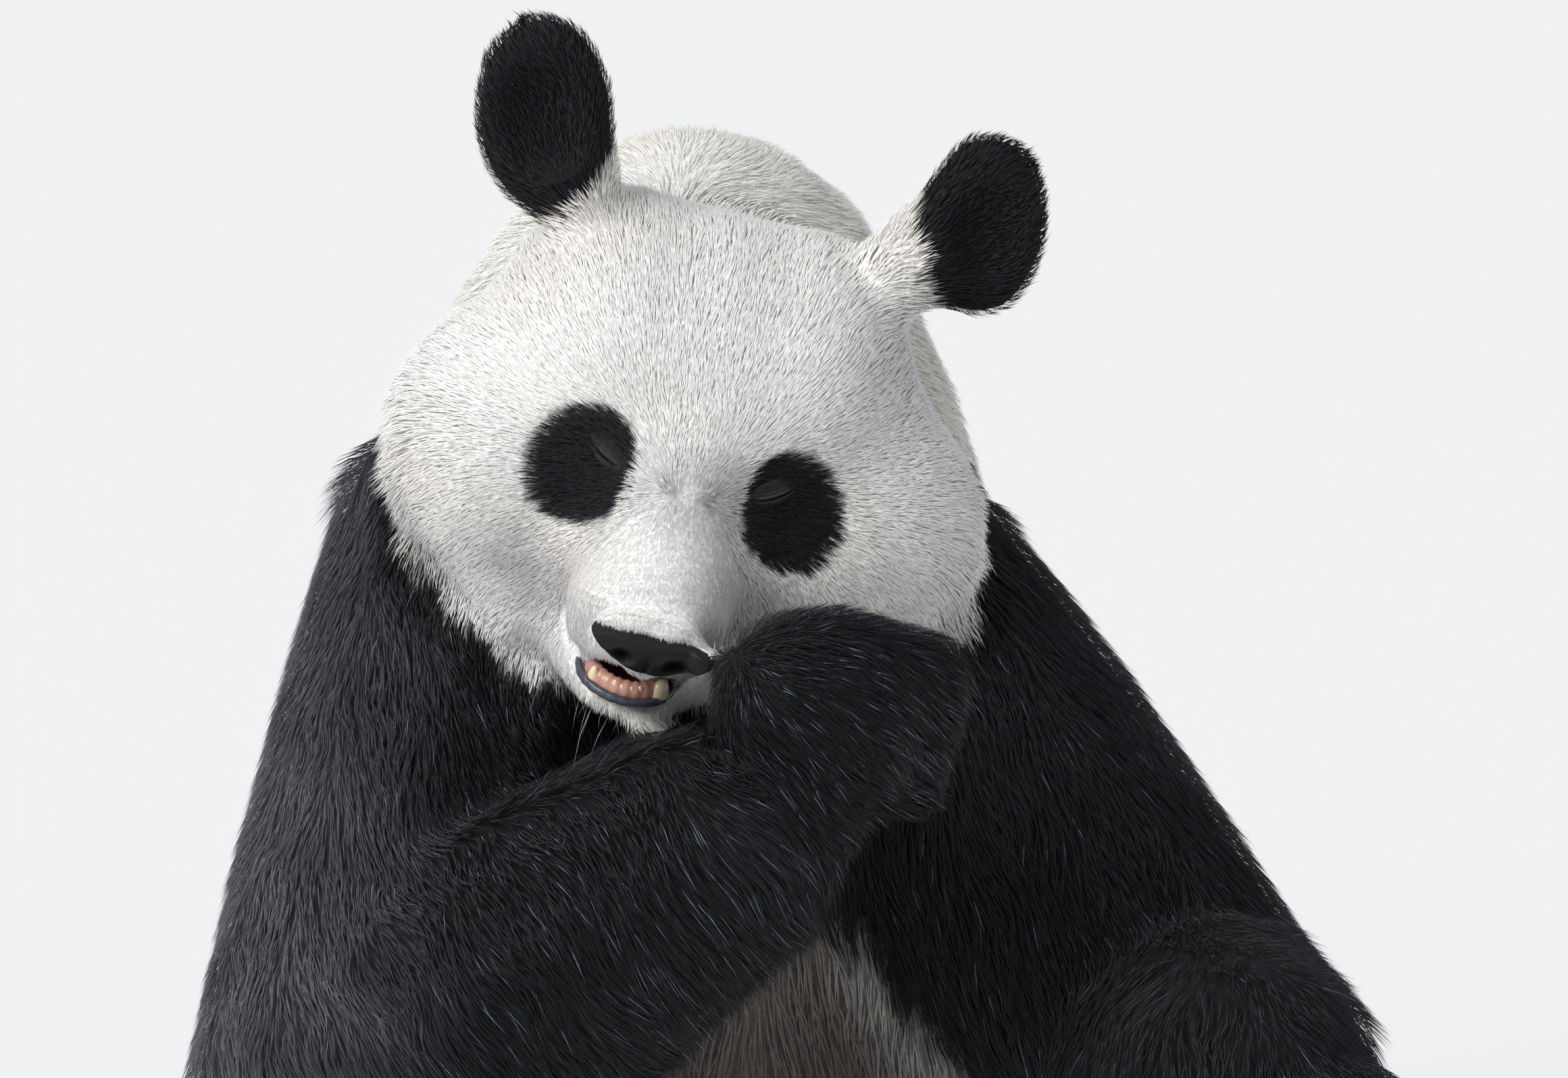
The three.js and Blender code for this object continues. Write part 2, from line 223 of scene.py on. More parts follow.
# The group that all fur uses: a colour times 1 less to 1 plus the strength, by fine noise on the
# piece's own coordinates, and that noise as a height.
def furGroup():
    group = bpy.data.node_groups.new("hairStreaks", "ShaderNodeTree")
    for label, kind, way in (("Colour", "NodeSocketColor", "INPUT"),
                             ("Streak Size", "NodeSocketFloat", "INPUT"),
                             ("Streak Strength", "NodeSocketFloat", "INPUT"),
                             ("Colour", "NodeSocketColor", "OUTPUT"),
                             ("Height", "NodeSocketFloat", "OUTPUT")):
        group.interface.new_socket(label, in_out=way, socket_type=kind)
    enter, leave = group.nodes.new("NodeGroupInput"), group.nodes.new("NodeGroupOutput")
    place = group.nodes.new("ShaderNodeTexCoord")
    noise = group.nodes.new("ShaderNodeTexNoise")
    noise.inputs["Detail"].default_value = furPlan["detail"]
    level = group.nodes.new("ShaderNodeMapRange")
    for side, value in zip(("From Min", "From Max"), furPlan["noise"]):
        level.inputs[side].default_value = value
    scale = group.nodes.new("ShaderNodeVectorMath")
    scale.operation = "SCALE"
    join = group.links.new
    join(place.outputs["Object"], noise.inputs["Vector"])
    join(enter.outputs["Streak Size"], noise.inputs["Scale"])
    join(noise.outputs["Fac"], level.inputs["Value"])
    for side, operation in (("To Min", "SUBTRACT"), ("To Max", "ADD")):
        limit = group.nodes.new("ShaderNodeMath")
        limit.operation = operation
        limit.inputs[0].default_value = 1
        join(enter.outputs["Streak Strength"], limit.inputs[1])
        join(limit.outputs[0], level.inputs[side])
    join(enter.outputs["Colour"], scale.inputs[0])
    join(level.outputs["Result"], scale.inputs["Scale"])
    join(scale.outputs["Vector"], leave.inputs["Colour"])
    join(noise.outputs["Fac"], leave.inputs["Height"])
    return group


hairStreaks = furGroup()


# A fur finish: painted colour through the streak group, with the sheen of hair.
def furMaterial(name, roughness, sheen, streakSize, streakStrength, bump=0):
    material, tree, links, shader = newMaterial(
        name, Roughness=roughness, Sheen_Weight=sheen, Sheen_Roughness=furPlan["sheenRough"],
        Specular_IOR_Level=furPlan["specular"])
    colour = tree.new("ShaderNodeAttribute")
    colour.attribute_name = "coatColour"
    streaks = tree.new("ShaderNodeGroup")
    streaks.node_tree = hairStreaks
    streaks.inputs["Streak Size"].default_value = streakSize
    streaks.inputs["Streak Strength"].default_value = streakStrength
    links.new(colour.outputs["Color"], streaks.inputs["Colour"])
    links.new(streaks.outputs["Colour"], shader.inputs["Base Color"])
    if bump:
        ridge = tree.new("ShaderNodeBump")
        ridge.inputs["Strength"].default_value = bump
        ridge.inputs["Distance"].default_value = furPlan["ridge"]
        links.new(streaks.outputs["Height"], ridge.inputs["Height"])
        links.new(ridge.outputs["Normal"], shader.inputs["Normal"])
    return material


# Leather, horn and tooth finishes: two colours mixed by noise, with a bump from the same noise. The
# mix node's sockets 6 and 7 are its two colours and its output 2 is their mix.
def noisyMaterial(name, dark, light, size, bump, distance, **sockets):
    material, tree, links, shader = newMaterial(name, **sockets)
    place = tree.new("ShaderNodeTexCoord")
    noise = tree.new("ShaderNodeTexNoise")
    noise.inputs["Scale"].default_value = size
    noise.inputs["Detail"].default_value = 4
    blendColours = tree.new("ShaderNodeMix")
    blendColours.data_type = "RGBA"
    blendColours.inputs[6].default_value = (*dark, 1)
    blendColours.inputs[7].default_value = (*light, 1)
    ridge = tree.new("ShaderNodeBump")
    ridge.inputs["Strength"].default_value = bump
    ridge.inputs["Distance"].default_value = distance
    links.new(place.outputs["Object"], noise.inputs["Vector"])
    links.new(noise.outputs["Fac"], blendColours.inputs[0])
    links.new(blendColours.outputs[2], shader.inputs["Base Color"])
    links.new(noise.outputs["Fac"], ridge.inputs["Height"])
    links.new(ridge.outputs["Normal"], shader.inputs["Normal"])
    return material


whiteFur = furMaterial("whiteFur", roughness=0.62, sheen=0.12, streakSize=260, streakStrength=0.10)
blackFur = furMaterial("blackFur", roughness=0.48, sheen=0.07, streakSize=260, streakStrength=0.25)
bellyFur = furMaterial("bellyFur", roughness=0.6, sheen=0.15, streakSize=220, streakStrength=0.18)
skinFur = furMaterial("skinUnderFur", roughness=0.8, sheen=0.0, streakSize=500, streakStrength=0.25,
                      bump=0.6)
lidSkin = furMaterial("lidSkin", roughness=0.5, sheen=0.0, streakSize=420, streakStrength=0.35,
                      bump=0.5)
noseSkin = noisyMaterial("noseSkin", dark=(0.003, 0.003, 0.004), light=(0.014, 0.013, 0.015),
                         size=900, bump=0.45, distance=0.0006,
                         Roughness=0.58, Specular_IOR_Level=0.25)
lipSkin = noisyMaterial("lipSkin", dark=(0.02, 0.022, 0.032), light=(0.085, 0.085, 0.115),
                        size=220, bump=0.3, distance=0.0005, Roughness=0.35)
gumSkin = noisyMaterial("gumSkin", dark=(0.34, 0.13, 0.13), light=(0.66, 0.38, 0.27),
                        size=130, bump=0.25, distance=0.0005,
                        Roughness=0.35, Coat_Weight=0.25, Coat_Roughness=0.2)
toothEnamel = noisyMaterial("toothEnamel", dark=(0.66, 0.45, 0.22), light=(0.86, 0.78, 0.60),
                            size=90, bump=0.1, distance=0.0003,
                            Roughness=0.25, Coat_Weight=0.3, Coat_Roughness=0.1)
clawHorn = noisyMaterial("clawHorn", dark=(0.02, 0.016, 0.012), light=(0.13, 0.10, 0.07),
                         size=140, bump=0.25, distance=0.0004, Roughness=0.35)
soleSkin = noisyMaterial("soleSkin", dark=(0.004, 0.004, 0.004), light=(0.020, 0.017, 0.017),
                         size=260, bump=0.8, distance=0.0014, Roughness=0.6)
print("finishes made")


# The coat's plan: for each part its fur's length, the skin's depth below the solid and a tuft's
# width, in millimetres; how much its hair hangs; and how much of the solid's facets is smoothed.
coatPlan = {
    "head": {"length": 18, "depth": 6, "width": 1.0, "hang": 0.0, "smooth": 0.25},
    "lower_jaw": {"length": 9, "depth": 2.5, "width": 1.0, "hang": 0.1, "smooth": 0.15},
    "eye": {"length": 7, "depth": 2.5, "width": 1.0, "hang": 0.0, "smooth": 0.15},
    "nose": {"length": 5, "depth": 1.2, "width": 0.7, "hang": 0.0, "smooth": 0.3},
    "ear": {"length": 12, "depth": 4.5, "width": 0.75, "hang": 0.0, "smooth": 0.2},
    "neck": {"length": 17, "depth": 6, "width": 0.65, "hang": 0.8, "smooth": 1.0},
    "chest": {"length": 46, "depth": 17, "width": 1.3, "hang": 0.8, "smooth": 1.0},
    "belly": {"length": 46, "depth": 17, "width": 1.25, "hang": 0.8, "smooth": 1.0},
    "rump": {"length": 42, "depth": 14, "width": 1.4, "hang": 0.6, "smooth": 1.0},
    "tail": {"length": 36, "depth": 11, "width": 1.4, "hang": 0.6, "smooth": 0.6},
    "upper_arm": {"length": 31, "depth": 9, "width": 1.0, "hang": 0.8, "smooth": 1.0},
    "forearm": {"length": 32, "depth": 9, "width": 0.95, "hang": 1.5, "smooth": 1.0},
    "hand": {"length": 19, "depth": 5.5, "width": 0.8, "hang": 0.5, "smooth": 0.3},
    "thigh": {"length": 40, "depth": 13, "width": 1.3, "hang": 0.4, "smooth": 1.0},
    "shank": {"length": 33, "depth": 10, "width": 1.2, "hang": 0.3, "smooth": 0.9},
    "hind_foot": {"length": 15, "depth": 4, "width": 0.9, "hang": 0.1, "smooth": 0.3},
}
# Where the ears' hair points away from, in head millimetres, and ways of neck and trunk hair.
liePlan = {"earsFrom": (0, 70, 20), "neckOut": (0.7, 0.4, 0), "neckBack": (0, 0.6, -0.35),
           "trunk": (0, 0.35, -1.0)}
towards = {"upper_arm": "forearm", "forearm": "hand", "thigh": "shank", "shank": "hind_foot"}

headNodes = ["head", "lower_jaw", "eye_left", "eye_right", "nose"]
fleshNodes = headNodes + ["ear_left", "ear_right", "neck", "chest", "belly", "rump", "tail"]
for side in ("left", "right"):
    fleshNodes += [f"{part}_{side}" for part in ("upper_arm", "forearm", "hand", "thigh", "shank",
                                                  "hind_foot")]


# The plan's name for a node: its name without the side.
def kindOf(node):
    return node.replace("_left", "").replace("_right", "")


# A paw's three directions as columns: across the claws, towards the toes, and out of the sole.
def pawAxes(paw):
    across = unit(middle(f"claw_{paw}_5") - middle(f"claw_{paw}_1"))
    under = middle(f"pad_{paw}") - middle(paw)
    under = unit(under - across * (under @ across))
    toes = np.cross(across, under)
    ahead = (middle(f"claw_{paw}_3") - middle(paw)) @ toes
    return np.stack([across, toes if ahead > 0 else -toes, under], 1)


# Which way the hair of a node lies, for its points: along the limb to the next part, towards the
# toes on a paw, back over the neck, out along the ears, or down and back on the trunk.
def lieOf(node, points):
    kind, side = kindOf(node), node.split("_")[-1]
    if kind in towards:
        way = middle(f"{towards[kind]}_{side}") - middle(node)
    elif kind in ("hand", "hind_foot"):
        way = pawAxes(node)[:, 1]
    elif kind == "ear":
        return unit(points - fromHead(liePlan["earsFrom"]))
    elif kind == "neck":
        return unit(unit(points - middle("head")) * liePlan["neckOut"] + liePlan["neckBack"])
    else:
        way = np.array(liePlan["trunk"])
    return np.tile(unit(way), (len(points), 1))


# The skin: the wrap's cell, how far solids are grown into each other and the plan's cell; the area
# for one sample of the plan; steps and shares of the smoothings; the lowest place; and the unwrap.
skinPlan = {
    "voxel": 6.1, "grow": 0.6, "cell": 9.0,  # mm
    "sample": 45,  # square mm
    "smoothSteps": 40, "smoothShares": (0.52, -0.55), "leastSmooth": 0.12,
    "creaseSteps": 60, "creaseShare": 0.6, "creaseFrom": (0.02, 0.16),
    "lieSteps": 4, "sinkSteps": 3, "sinkShare": 0.3, "lowest": 0.002,
    "islandAngle": 1.15, "islandGap": 0.002,
}


# Every node's corners moved out a little so that neighbours overlap, in one list of triangles.
def joinFlesh():
    points, triangles, owner = [], [], []
    count = 0
    for i, name in enumerate(fleshNodes):
        spots, corners = meshArrays(nodes[name].data)
        grownSpots = spots + cornerNormals(spots, corners) * skinPlan["grow"] * mm
        points.append(grownSpots)
        triangles.append(corners + count)
        owner.append(np.full(len(spots), i))
        count += len(spots)
    return np.concatenate(points), np.concatenate(triangles), np.concatenate(owner)


fleshPoints, fleshTriangles, fleshOwner = joinFlesh()


# One closed surface around all the flesh, by a voxel remesh of the joined nodes.
def wrapFlesh():
    joined = makePiece("fleshJoined", fleshPoints, fleshTriangles, skinFur)
    remesh = joined.modifiers.new("wrap", "REMESH")
    remesh.mode = "VOXEL"
    remesh.voxel_size = skinPlan["voxel"] * mm
    evaluated = joined.evaluated_get(bpy.context.evaluated_depsgraph_get())
    mesh = bpy.data.meshes.new_from_object(evaluated)
    points = np.empty(len(mesh.vertices) * 3, np.float32)
    mesh.vertices.foreach_get("co", points)
    quads = np.empty(len(mesh.loops), np.int32)
    mesh.loops.foreach_get("vertex_index", quads)
    bpy.data.objects.remove(joined)
    return points.reshape(-1, 3).astype(float), quads.reshape(-1, 4)


skinPoints, skinQuads = wrapFlesh()
skinTriangles = np.concatenate([skinQuads[:, [0, 1, 2]], skinQuads[:, [0, 2, 3]]])
skinEdges = np.concatenate([skinQuads[:, [k, (k + 1) % 4]] for k in range(4)])
skinEdges = np.unique(np.sort(skinEdges, 1), axis=0)
skinDegree = np.bincount(skinEdges.reshape(-1), minlength=len(skinPoints))
print("skin wrapped:", len(skinPoints), "corners")


# The mean of each corner's neighbours along the edges.
def neighbourMean(values):
    a, b = skinEdges[:, 0], skinEdges[:, 1]
    count = len(values)
    total = np.stack([np.bincount(a, values[b, k], count) + np.bincount(b, values[a, k], count)
                      for k in range(values.shape[1])], 1)
    return total / skinDegree[:, None]


# Places spread over the solids, at least one on each triangle: the place, the area it stands for
# and the solid it belongs to.
def spreadOverFlesh():
    a, b, c = (fleshPoints[fleshTriangles[:, k]] for k in range(3))
    area = np.linalg.norm(np.cross(b - a, c - a), axis=1) / 2 / mm ** 2
    amount = np.ceil(area / skinPlan["sample"]).astype(int)
    triangle = np.repeat(np.arange(len(area)), amount)
    along, over = random.random((2, len(triangle), 1))
    fold = along + over > 1
    along, over = np.where(fold, 1 - along, along), np.where(fold, 1 - over, over)
    spots = a[triangle] + along * (b - a)[triangle] + over * (c - a)[triangle]
    return spots, (area / amount)[triangle], fleshOwner[fleshTriangles[triangle, 0]]


# The plan's numbers, the lie of the hair and the owner's share at each of these places.
def planOnFlesh(spots, owner):
    kinds = [coatPlan[kindOf(name)] for name in fleshNodes]
    fields = ("length", "depth", "width", "hang", "smooth")
    numbers = np.array([[kind[field] for field in fields] for kind in kinds])
    lie = np.zeros((len(spots), 3))
    for i, name in enumerate(fleshNodes):
        lie[owner == i] = lieOf(name, spots[owner == i])
    return np.concatenate([numbers[owner], lie, np.eye(len(fleshNodes))[owner]], 1)


# Carries the plan to other points: the places' values are summed in the cells of a grid, spread to
# the cells beside by weights of 1, 2 and 1, twice along each axis, and read between cell middles.
def carryFromFlesh(points):
    spots, weight, owner = spreadOverFlesh()
    values = np.concatenate([planOnFlesh(spots, owner), np.ones((len(spots), 1))], 1)
    cell = skinPlan["cell"] * mm
    low = fleshPoints.min(0) - 5 * cell
    shape = np.ceil((fleshPoints.max(0) + 5 * cell - low) / cell).astype(int)
    at = np.ravel_multi_index(((spots - low) / cell).astype(int).T, shape)
    start = (points - low) / cell - 0.5
    base = np.floor(start).astype(int)
    part = start - base
    result = np.zeros((len(points), values.shape[1]))
    for k in range(values.shape[1]):
        field = np.bincount(at, weight * values[:, k], shape.prod()).reshape(shape)
        for axis in (0, 1, 2, 0, 1, 2):
            field = (np.roll(field, 1, axis) + 2 * field + np.roll(field, -1, axis)) / 4
        for corner in np.ndindex(2, 2, 2):
            share = np.where(corner, part, 1 - part).prod(1)
            result[:, k] += share * field[tuple((base + corner).T)]
    return result[:, :-1] / np.maximum(result[:, -1:], 1e-9)


carried = carryFromFlesh(skinPoints)
skinShares = carried[:, 8:]


# The summed share of these solids at each point.
def shareOf(shares, *names):
    return shares[:, [fleshNodes.index(name) for name in names]].sum(1)


# Taubin smoothing: a step towards the neighbours' mean and a slightly longer step back, so that
# facets go and the size stays.
def smoothSkin(points, strength):
    for _ in range(skinPlan["smoothSteps"]):
        for step in skinPlan["smoothShares"]:
            points = points + step * strength[:, None] * (neighbourMean(points) - points)
    return points


# Fills the crease where head and neck meet: steps to the neighbours' mean where both have a share.
def fillCrease(points):
    both = shareOf(skinShares, "head", "ear_left", "ear_right") * shareOf(skinShares, "neck")
    filled = skinPlan["creaseShare"] * ramp(both, *skinPlan["creaseFrom"])[:, None]
    for _ in range(skinPlan["creaseSteps"]):
        points = mix(points, neighbourMean(points), filled)
    return points


skinSmooth = np.clip(carried[:, 4], skinPlan["leastSmooth"], 1)
skinPoints = fillCrease(smoothSkin(skinPoints, skinSmooth))
skinNormals = cornerNormals(skinPoints, skinTriangles)
print("skin smoothed")

# The face's measures, in the head's millimetres: eye patches, whorls and open mouth; how near a
# place the skin is felt for and how far back the face goes; the way from which it is seen and the
# stretch over which normals turn away from it; and the edges of mouth, lip and bare skin, in
# distances from the open mouth's middle and heights.
facePlan = {
    "patch": {"across": 56, "up": 2, "wide": 26.5, "high": 32, "lean": 32, "behind": (40, 60)},
    "whorl": {"across": 9.2, "up": 8},
    "gape": {"at": (-7, -76, -86.5), "size": (27, 30, 7.5)},
    "feel": 5, "depth": 30, "seenFrom": (0, -0.85, 0.53), "turned": (-0.05, 0.25),
    "mouthEdge": (1.02, 1.12), "lipEdge": (1.10, 1.20), "lipTop": -86,
    "bareMouth": 1.03, "bareLip": 1.14, "bareLipTop": -84, "bareNose": -0.5,
}


# How far forward the skin is at a place on the face given by x and z.
def faceAt(across, up):
    head = inHead(skinPoints)
    near = np.hypot(head[:, 0] - across, head[:, 2] - up) < facePlan["feel"]
    near &= head[:, 1] < facePlan["depth"]
    return head[near, 1].mean()


whorlFront = (faceAt(-facePlan["whorl"]["across"], facePlan["whorl"]["up"])
              + faceAt(facePlan["whorl"]["across"], facePlan["whorl"]["up"])) / 2


# How much a surface shows from in front and above, by its normal: 1 ahead, below 0 behind.
def facing(normals):
    return normals @ headAxes @ np.array(facePlan["seenFrom"])


# 0 where the surface faces forward, 1 where it has turned away.
def turnedAway(normals):
    return ramp(-facing(normals), *facePlan["turned"])


# Distance from the middle of the nearer eye patch, 1 on its edge: an oval that leans outward below.
def patchDistance(head):
    plan = facePlan["patch"]
    lean = math.radians(plan["lean"])
    across = np.abs(head[:, 0]) - plan["across"]
    up = head[:, 2] - plan["up"]
    wide = (across * math.cos(lean) + up * math.sin(lean)) / plan["wide"]
    high = (up * math.cos(lean) - across * math.sin(lean)) / plan["high"]
    return np.hypot(wide, high) + ramp(head[:, 1], *plan["behind"]) * 3


# The nose's measures in the head's millimetres: its middle, half width, the heights of its crown,
# shoulder and foot, and the powers of the curve between these; how proud of the flesh it stands,
# how far its rim is sunk, how thick it is, how wide the rim is, how square its rings are, and
# where it ends behind; place, size and depth of each nostril, its slit and its wing, and of the
# groove; over how much of the flesh its front is averaged; and the mesh's rings and columns.
nosePlan = {
    "at": (-5, -108.9, -49), "half": 34.5, "crown": 12, "shoulder": 7, "foot": -11.5,
    "powers": (1.8, 0.85), "proud": 2.0, "sunk": 2.0, "thick": 12, "rim": 3.0, "square": 0.9,
    "behind": (2, 8), "nostril": (14.5, -1.5), "nostrilSize": (4.2, 3.0), "nostrilLean": 0.2,
    "nostrilDeep": 8, "slit": (7, -0.6), "slitSize": (6, 1.5), "slitDeep": 3.0,
    "wing": 6, "wingSize": 2, "wingFlat": 1.25, "wingHigh": 0.8,
    "groove": 1.8, "grooveHalf": 1.3, "grooveFrom": (-6, 6),
    "flesh": (46, 22, 26), "bell": 18, "favour": 0.35, "rings": 64, "columns": 144,
}


# Half the nose's width at a height: full at the shoulder, a quarter of an oval above it, and below
# it 1 less a power of the way to the foot.
def noseWidth(z):
    above = np.clip((z - nosePlan["shoulder"]) / (nosePlan["crown"] - nosePlan["shoulder"]), 0, 1)
    below = np.clip((nosePlan["shoulder"] - z) / (nosePlan["shoulder"] - nosePlan["foot"]), 0, 1)
    drop, round = nosePlan["powers"]
    return nosePlan["half"] * np.sqrt(1 - above ** 2) * (1 - below ** drop) ** round


# How far inside the nose's outline a point is, below 0 outside it or behind the nose.
def noseInset(head):
    x, y, z = (head - nosePlan["at"]).T
    inset = np.minimum(nosePlan["crown"] - z, z - nosePlan["foot"])
    inset = np.minimum(noseWidth(z) - np.abs(x), inset)
    return inset - 20 * ramp(y, *nosePlan["behind"])  # 20 is more than any inset


# Distance from the middle of the open mouth, 1 on the edge of its hollow.
def gapeDistance(head):
    plan = facePlan["gape"]
    return np.linalg.norm((head - plan["at"]) / plan["size"], axis=1)


# The head's fur in millimetres: the stretches where cheek, brow, back, eye patch, chin and nose
# begin and end, and its length, depth and width on each.
headFurPlan = {
    "cheekAcross": (46, 110), "cheekDown": (-35, 45), "cheekFront": (-5, 25), "cheekBack": (62, 92),
    "brow": (-75, -5), "face": (-60, 0), "behind": (0, 90), "patch": (0.9, 1.5),
    "chinDown": (88, 104), "chinFront": (-20, 40), "nose": (-3, 1.5),
    "length": {"muzzle": 6, "face": 11.5, "behind": 9, "cheek": 20, "patch": 10.5, "chin": 7},
    "depth": {"muzzle": 0.8, "face": 2.2, "behind": 1.8, "cheek": 7.0, "nose": 11},
    "width": {"muzzle": 0.42, "face": 0.6, "behind": 0.12, "cheek": 0.1},
}


# Length, depth and width of the fur on the head: short on the muzzle and round the eyes, long on
# the cheeks, and longer towards the back.
def headFur(head):
    x, y, z = head.T
    plan = headFurPlan
    cheek = (ramp(np.abs(x), *plan["cheekAcross"]) * ramp(-z, *plan["cheekDown"])
             * ramp(y, *plan["cheekFront"]) * (1 - ramp(y, *plan["cheekBack"])))
    behind = ramp(y, *plan["behind"])

    def spread(part, stretch):
        return (mix(part["muzzle"], part["face"], ramp(y, *plan[stretch])) + part["behind"] * behind
                + part["cheek"] * cheek)

    length = spread(plan["length"], "brow")
    length = mix(length, plan["length"]["patch"], 1 - ramp(patchDistance(head), *plan["patch"]))
    chin = ramp(-z, *plan["chinDown"]) * ramp(-y, *plan["chinFront"])
    length = mix(length, plan["length"]["chin"], chin)
    depth = spread(plan["depth"], "face")
    depth = depth + plan["depth"]["nose"] * ramp(noseInset(head), *plan["nose"])
    return length, depth, spread(plan["width"], "face")


# The lie on the head: where crown and cheeks begin and end, how much hair leans back and hangs
# there, the way behind, and the longest hair on what faces away.
headLiePlan = {"crown": (20, 80), "lean": 0.25, "cheekAcross": (60, 120), "cheekDown": (-20, 40),
               "hang": 0.55, "behind": (-0.35, 1, -0.3), "longestBehind": 14}


# Hair on the head fans out from the two whorls between the eyes, hangs a little on the cheeks and
# runs back to the neck on the sides that don't face forward.
def headLie(head, normals):
    plan, whorls = headLiePlan, facePlan["whorl"]
    side = np.sign(head[:, 0])
    whorl = np.stack([side * whorls["across"], np.full(len(head), whorlFront),
                      np.full(len(head), whorls["up"])], 1)
    way = unit(head - whorl)
    way[:, 1] += plan["lean"] * ramp(head[:, 2], *plan["crown"])
    cheek = ramp(np.abs(head[:, 0]), *plan["cheekAcross"]) * ramp(-head[:, 2], *plan["cheekDown"])
    down = np.array([0, 0, -1.0]) @ headAxes
    way = unit(way + plan["hang"] * cheek[:, None] * down)
    across, back, up = plan["behind"]
    behind = np.stack([across * side, np.full(len(head), back), np.full(len(head), up)], 1)
    return unit(mix(way, behind, turnedAway(normals)[:, None]))


# Where the raised paw meets the muzzle it is pressed flatter: where, how far round and by how much.
pressPlan = {"at": (30, -92, -55), "reach": (22, 60), "deep": 8, "length": 11}


# Everything the coat needs to know at a set of points on the skin.
def coatAt(points, normals, carriedValues):
    head = inHead(points)
    length, depth, width = carriedValues[:, 0], carriedValues[:, 1], carriedValues[:, 2]
    share = np.clip(shareOf(carriedValues[:, 8:], *headNodes), 0, 1)
    headLength, headDepth, headWidth = headFur(head)
    lie = unit(carriedValues[:, 5:8]) + carriedValues[:, 3:4] * [0, 0, -1.0]
    lie = mix(unit(lie), headLie(head, normals) @ headAxes.T, share[:, None])
    cut = np.minimum(headLength, headLiePlan["longestBehind"])
    headLength = mix(headLength, cut, turnedAway(normals))
    pressed = 1 - ramp(np.linalg.norm(head - pressPlan["at"], axis=1), *pressPlan["reach"])
    pressed = pressed * shareOf(carriedValues[:, 8:], "hand_right", "forearm_right")
    length = mix(length, pressPlan["length"], pressed)
    depth = depth + pressPlan["deep"] * pressed
    return {"length": mix(length, headLength, share), "depth": mix(depth, headDepth, share),
            "width": mix(width, headWidth, share), "lie": lie, "headShare": share}


# Colours of coat and skin, and the solids whose coat is black.
colours = {
    "white": (0.88, 0.865, 0.845), "creamy": (0.80, 0.745, 0.66), "shadow": (0.45, 0.43, 0.45),
    # The worn grey is both the grey of worn hair and the painted sheen on the raised right arm.
    "black": (0.0042, 0.0050, 0.0074), "worn": (0.098, 0.099, 0.115), "dusky": (0.135, 0.112, 0.10),
    # The mouth's dark red is the mouth's own red with painted shade of its hollow.
    "mouth": (0.085, 0.018, 0.024), "lip": (0.028, 0.028, 0.040), "guard": (0.33, 0.37, 0.42),
    "whorl": (0.12, 0.12, 0.135),
}
blackNodes = ["ear_left", "ear_right", "chest"] + [
    f"{part}_{side}" for side in ("left", "right")
    for part in ("upper_arm", "forearm", "hand", "thigh", "shank", "hind_foot")]
# The black's edges. In metres: the shoulder line's height, its tilt, how much it wavers, and from
# where and how fast it climbs on the back. In the head's millimetres: the ears' white feet with
# their lean and skew, and the throat and chin's underside, which are painted black as painted
# shade.
# The rest are shares and distances at which one turns to the other.
blackPlan = {
    "shoulderLine": 0.734, "shoulderTilt": -0.233, "shoulderWaver": 0.05,
    "shoulderEdge": (-0.006, 0.006), "backFrom": 0.10, "backClimb": 0.35,
    "waver": ((0.016, 3, 0.08), (0.05, 4, 0.07)),
    "hidden": (0.0, 0.2), "hiddenFront": (-40, -20), "edge": (0.40, 0.60),
    "earFoot": 149, "earLean": 0.46, "earSkew": 8, "earWaver": 3, "earShare": (0.28, 0.42),
    "earEdge": (-5, 3), "throat": (84, 98), "throatFront": (-28, -8), "chinEdge": (101, 107),
    "throatSide": (30, 50), "patchWaver": 0.04, "patchEdge": (0.95, 1.08),
}


# How black the coat is: the black parts' share, made sharp at a wavering edge, and the neck below
# the shoulder line, with the head's underside that faces away there, partly the black band and
# partly painted shade; the eye patches and the painted shade under the chin are added and the
# ears' white feet taken off.
def blackness(points, normals, head, headShare, shares):
    plan = blackPlan
    waver = sum(mottle(points, size, seed) * strength for size, seed, strength in plan["waver"])
    low = plan["shoulderLine"] + plan["shoulderTilt"] * points[:, 0] - points[:, 2]
    low += (plan["shoulderWaver"] * waver
            - plan["backClimb"] * np.maximum(points[:, 1] - plan["backFrom"], 0))
    # The head's underside that faces away, below the shoulder line, is painted black with the neck:
    # partly the black band and partly painted shade.
    hidden = ramp(-facing(normals) + 0.1 * waver, *plan["hidden"])
    hidden = hidden * ramp(head[:, 1], *plan["hiddenFront"])
    below = shareOf(shares, "neck") + shareOf(shares, "head", "lower_jaw") * hidden
    black = shareOf(shares, *blackNodes) + below * ramp(low, *plan["shoulderEdge"])
    black = ramp(black + waver, *plan["edge"])
    earFoot = np.abs(head[:, 0]) + plan["earLean"] * head[:, 2] - plan["earFoot"]
    earFoot += (mottle(points, 0.02, 5) * plan["earWaver"] - plan["earSkew"] * np.sign(head[:, 0]))
    onEar = shareOf(shares, "ear_left", "ear_right")
    ear = np.minimum(ramp(onEar, *plan["earShare"]), ramp(earFoot, *plan["earEdge"]))
    black = np.where(onEar > plan["earShare"][0], ear, black)
    # Painted shade under the chin: the throat and the chin's underside are painted black.
    inner = 1 - ramp(np.abs(head[:, 0]), *plan["throatSide"])
    throat = ramp(-head[:, 2], *plan["throat"]) * ramp(head[:, 1], *plan["throatFront"]) * inner
    throat = np.maximum(throat, ramp(-head[:, 2], *plan["chinEdge"]) * inner)
    patch = patchDistance(head) + mottle(points, 0.010, 6) * plan["patchWaver"]
    patch = 1 - ramp(patch, *plan["patchEdge"])
    return np.maximum(black, np.maximum(patch, throat) * (headShare > 0.3))
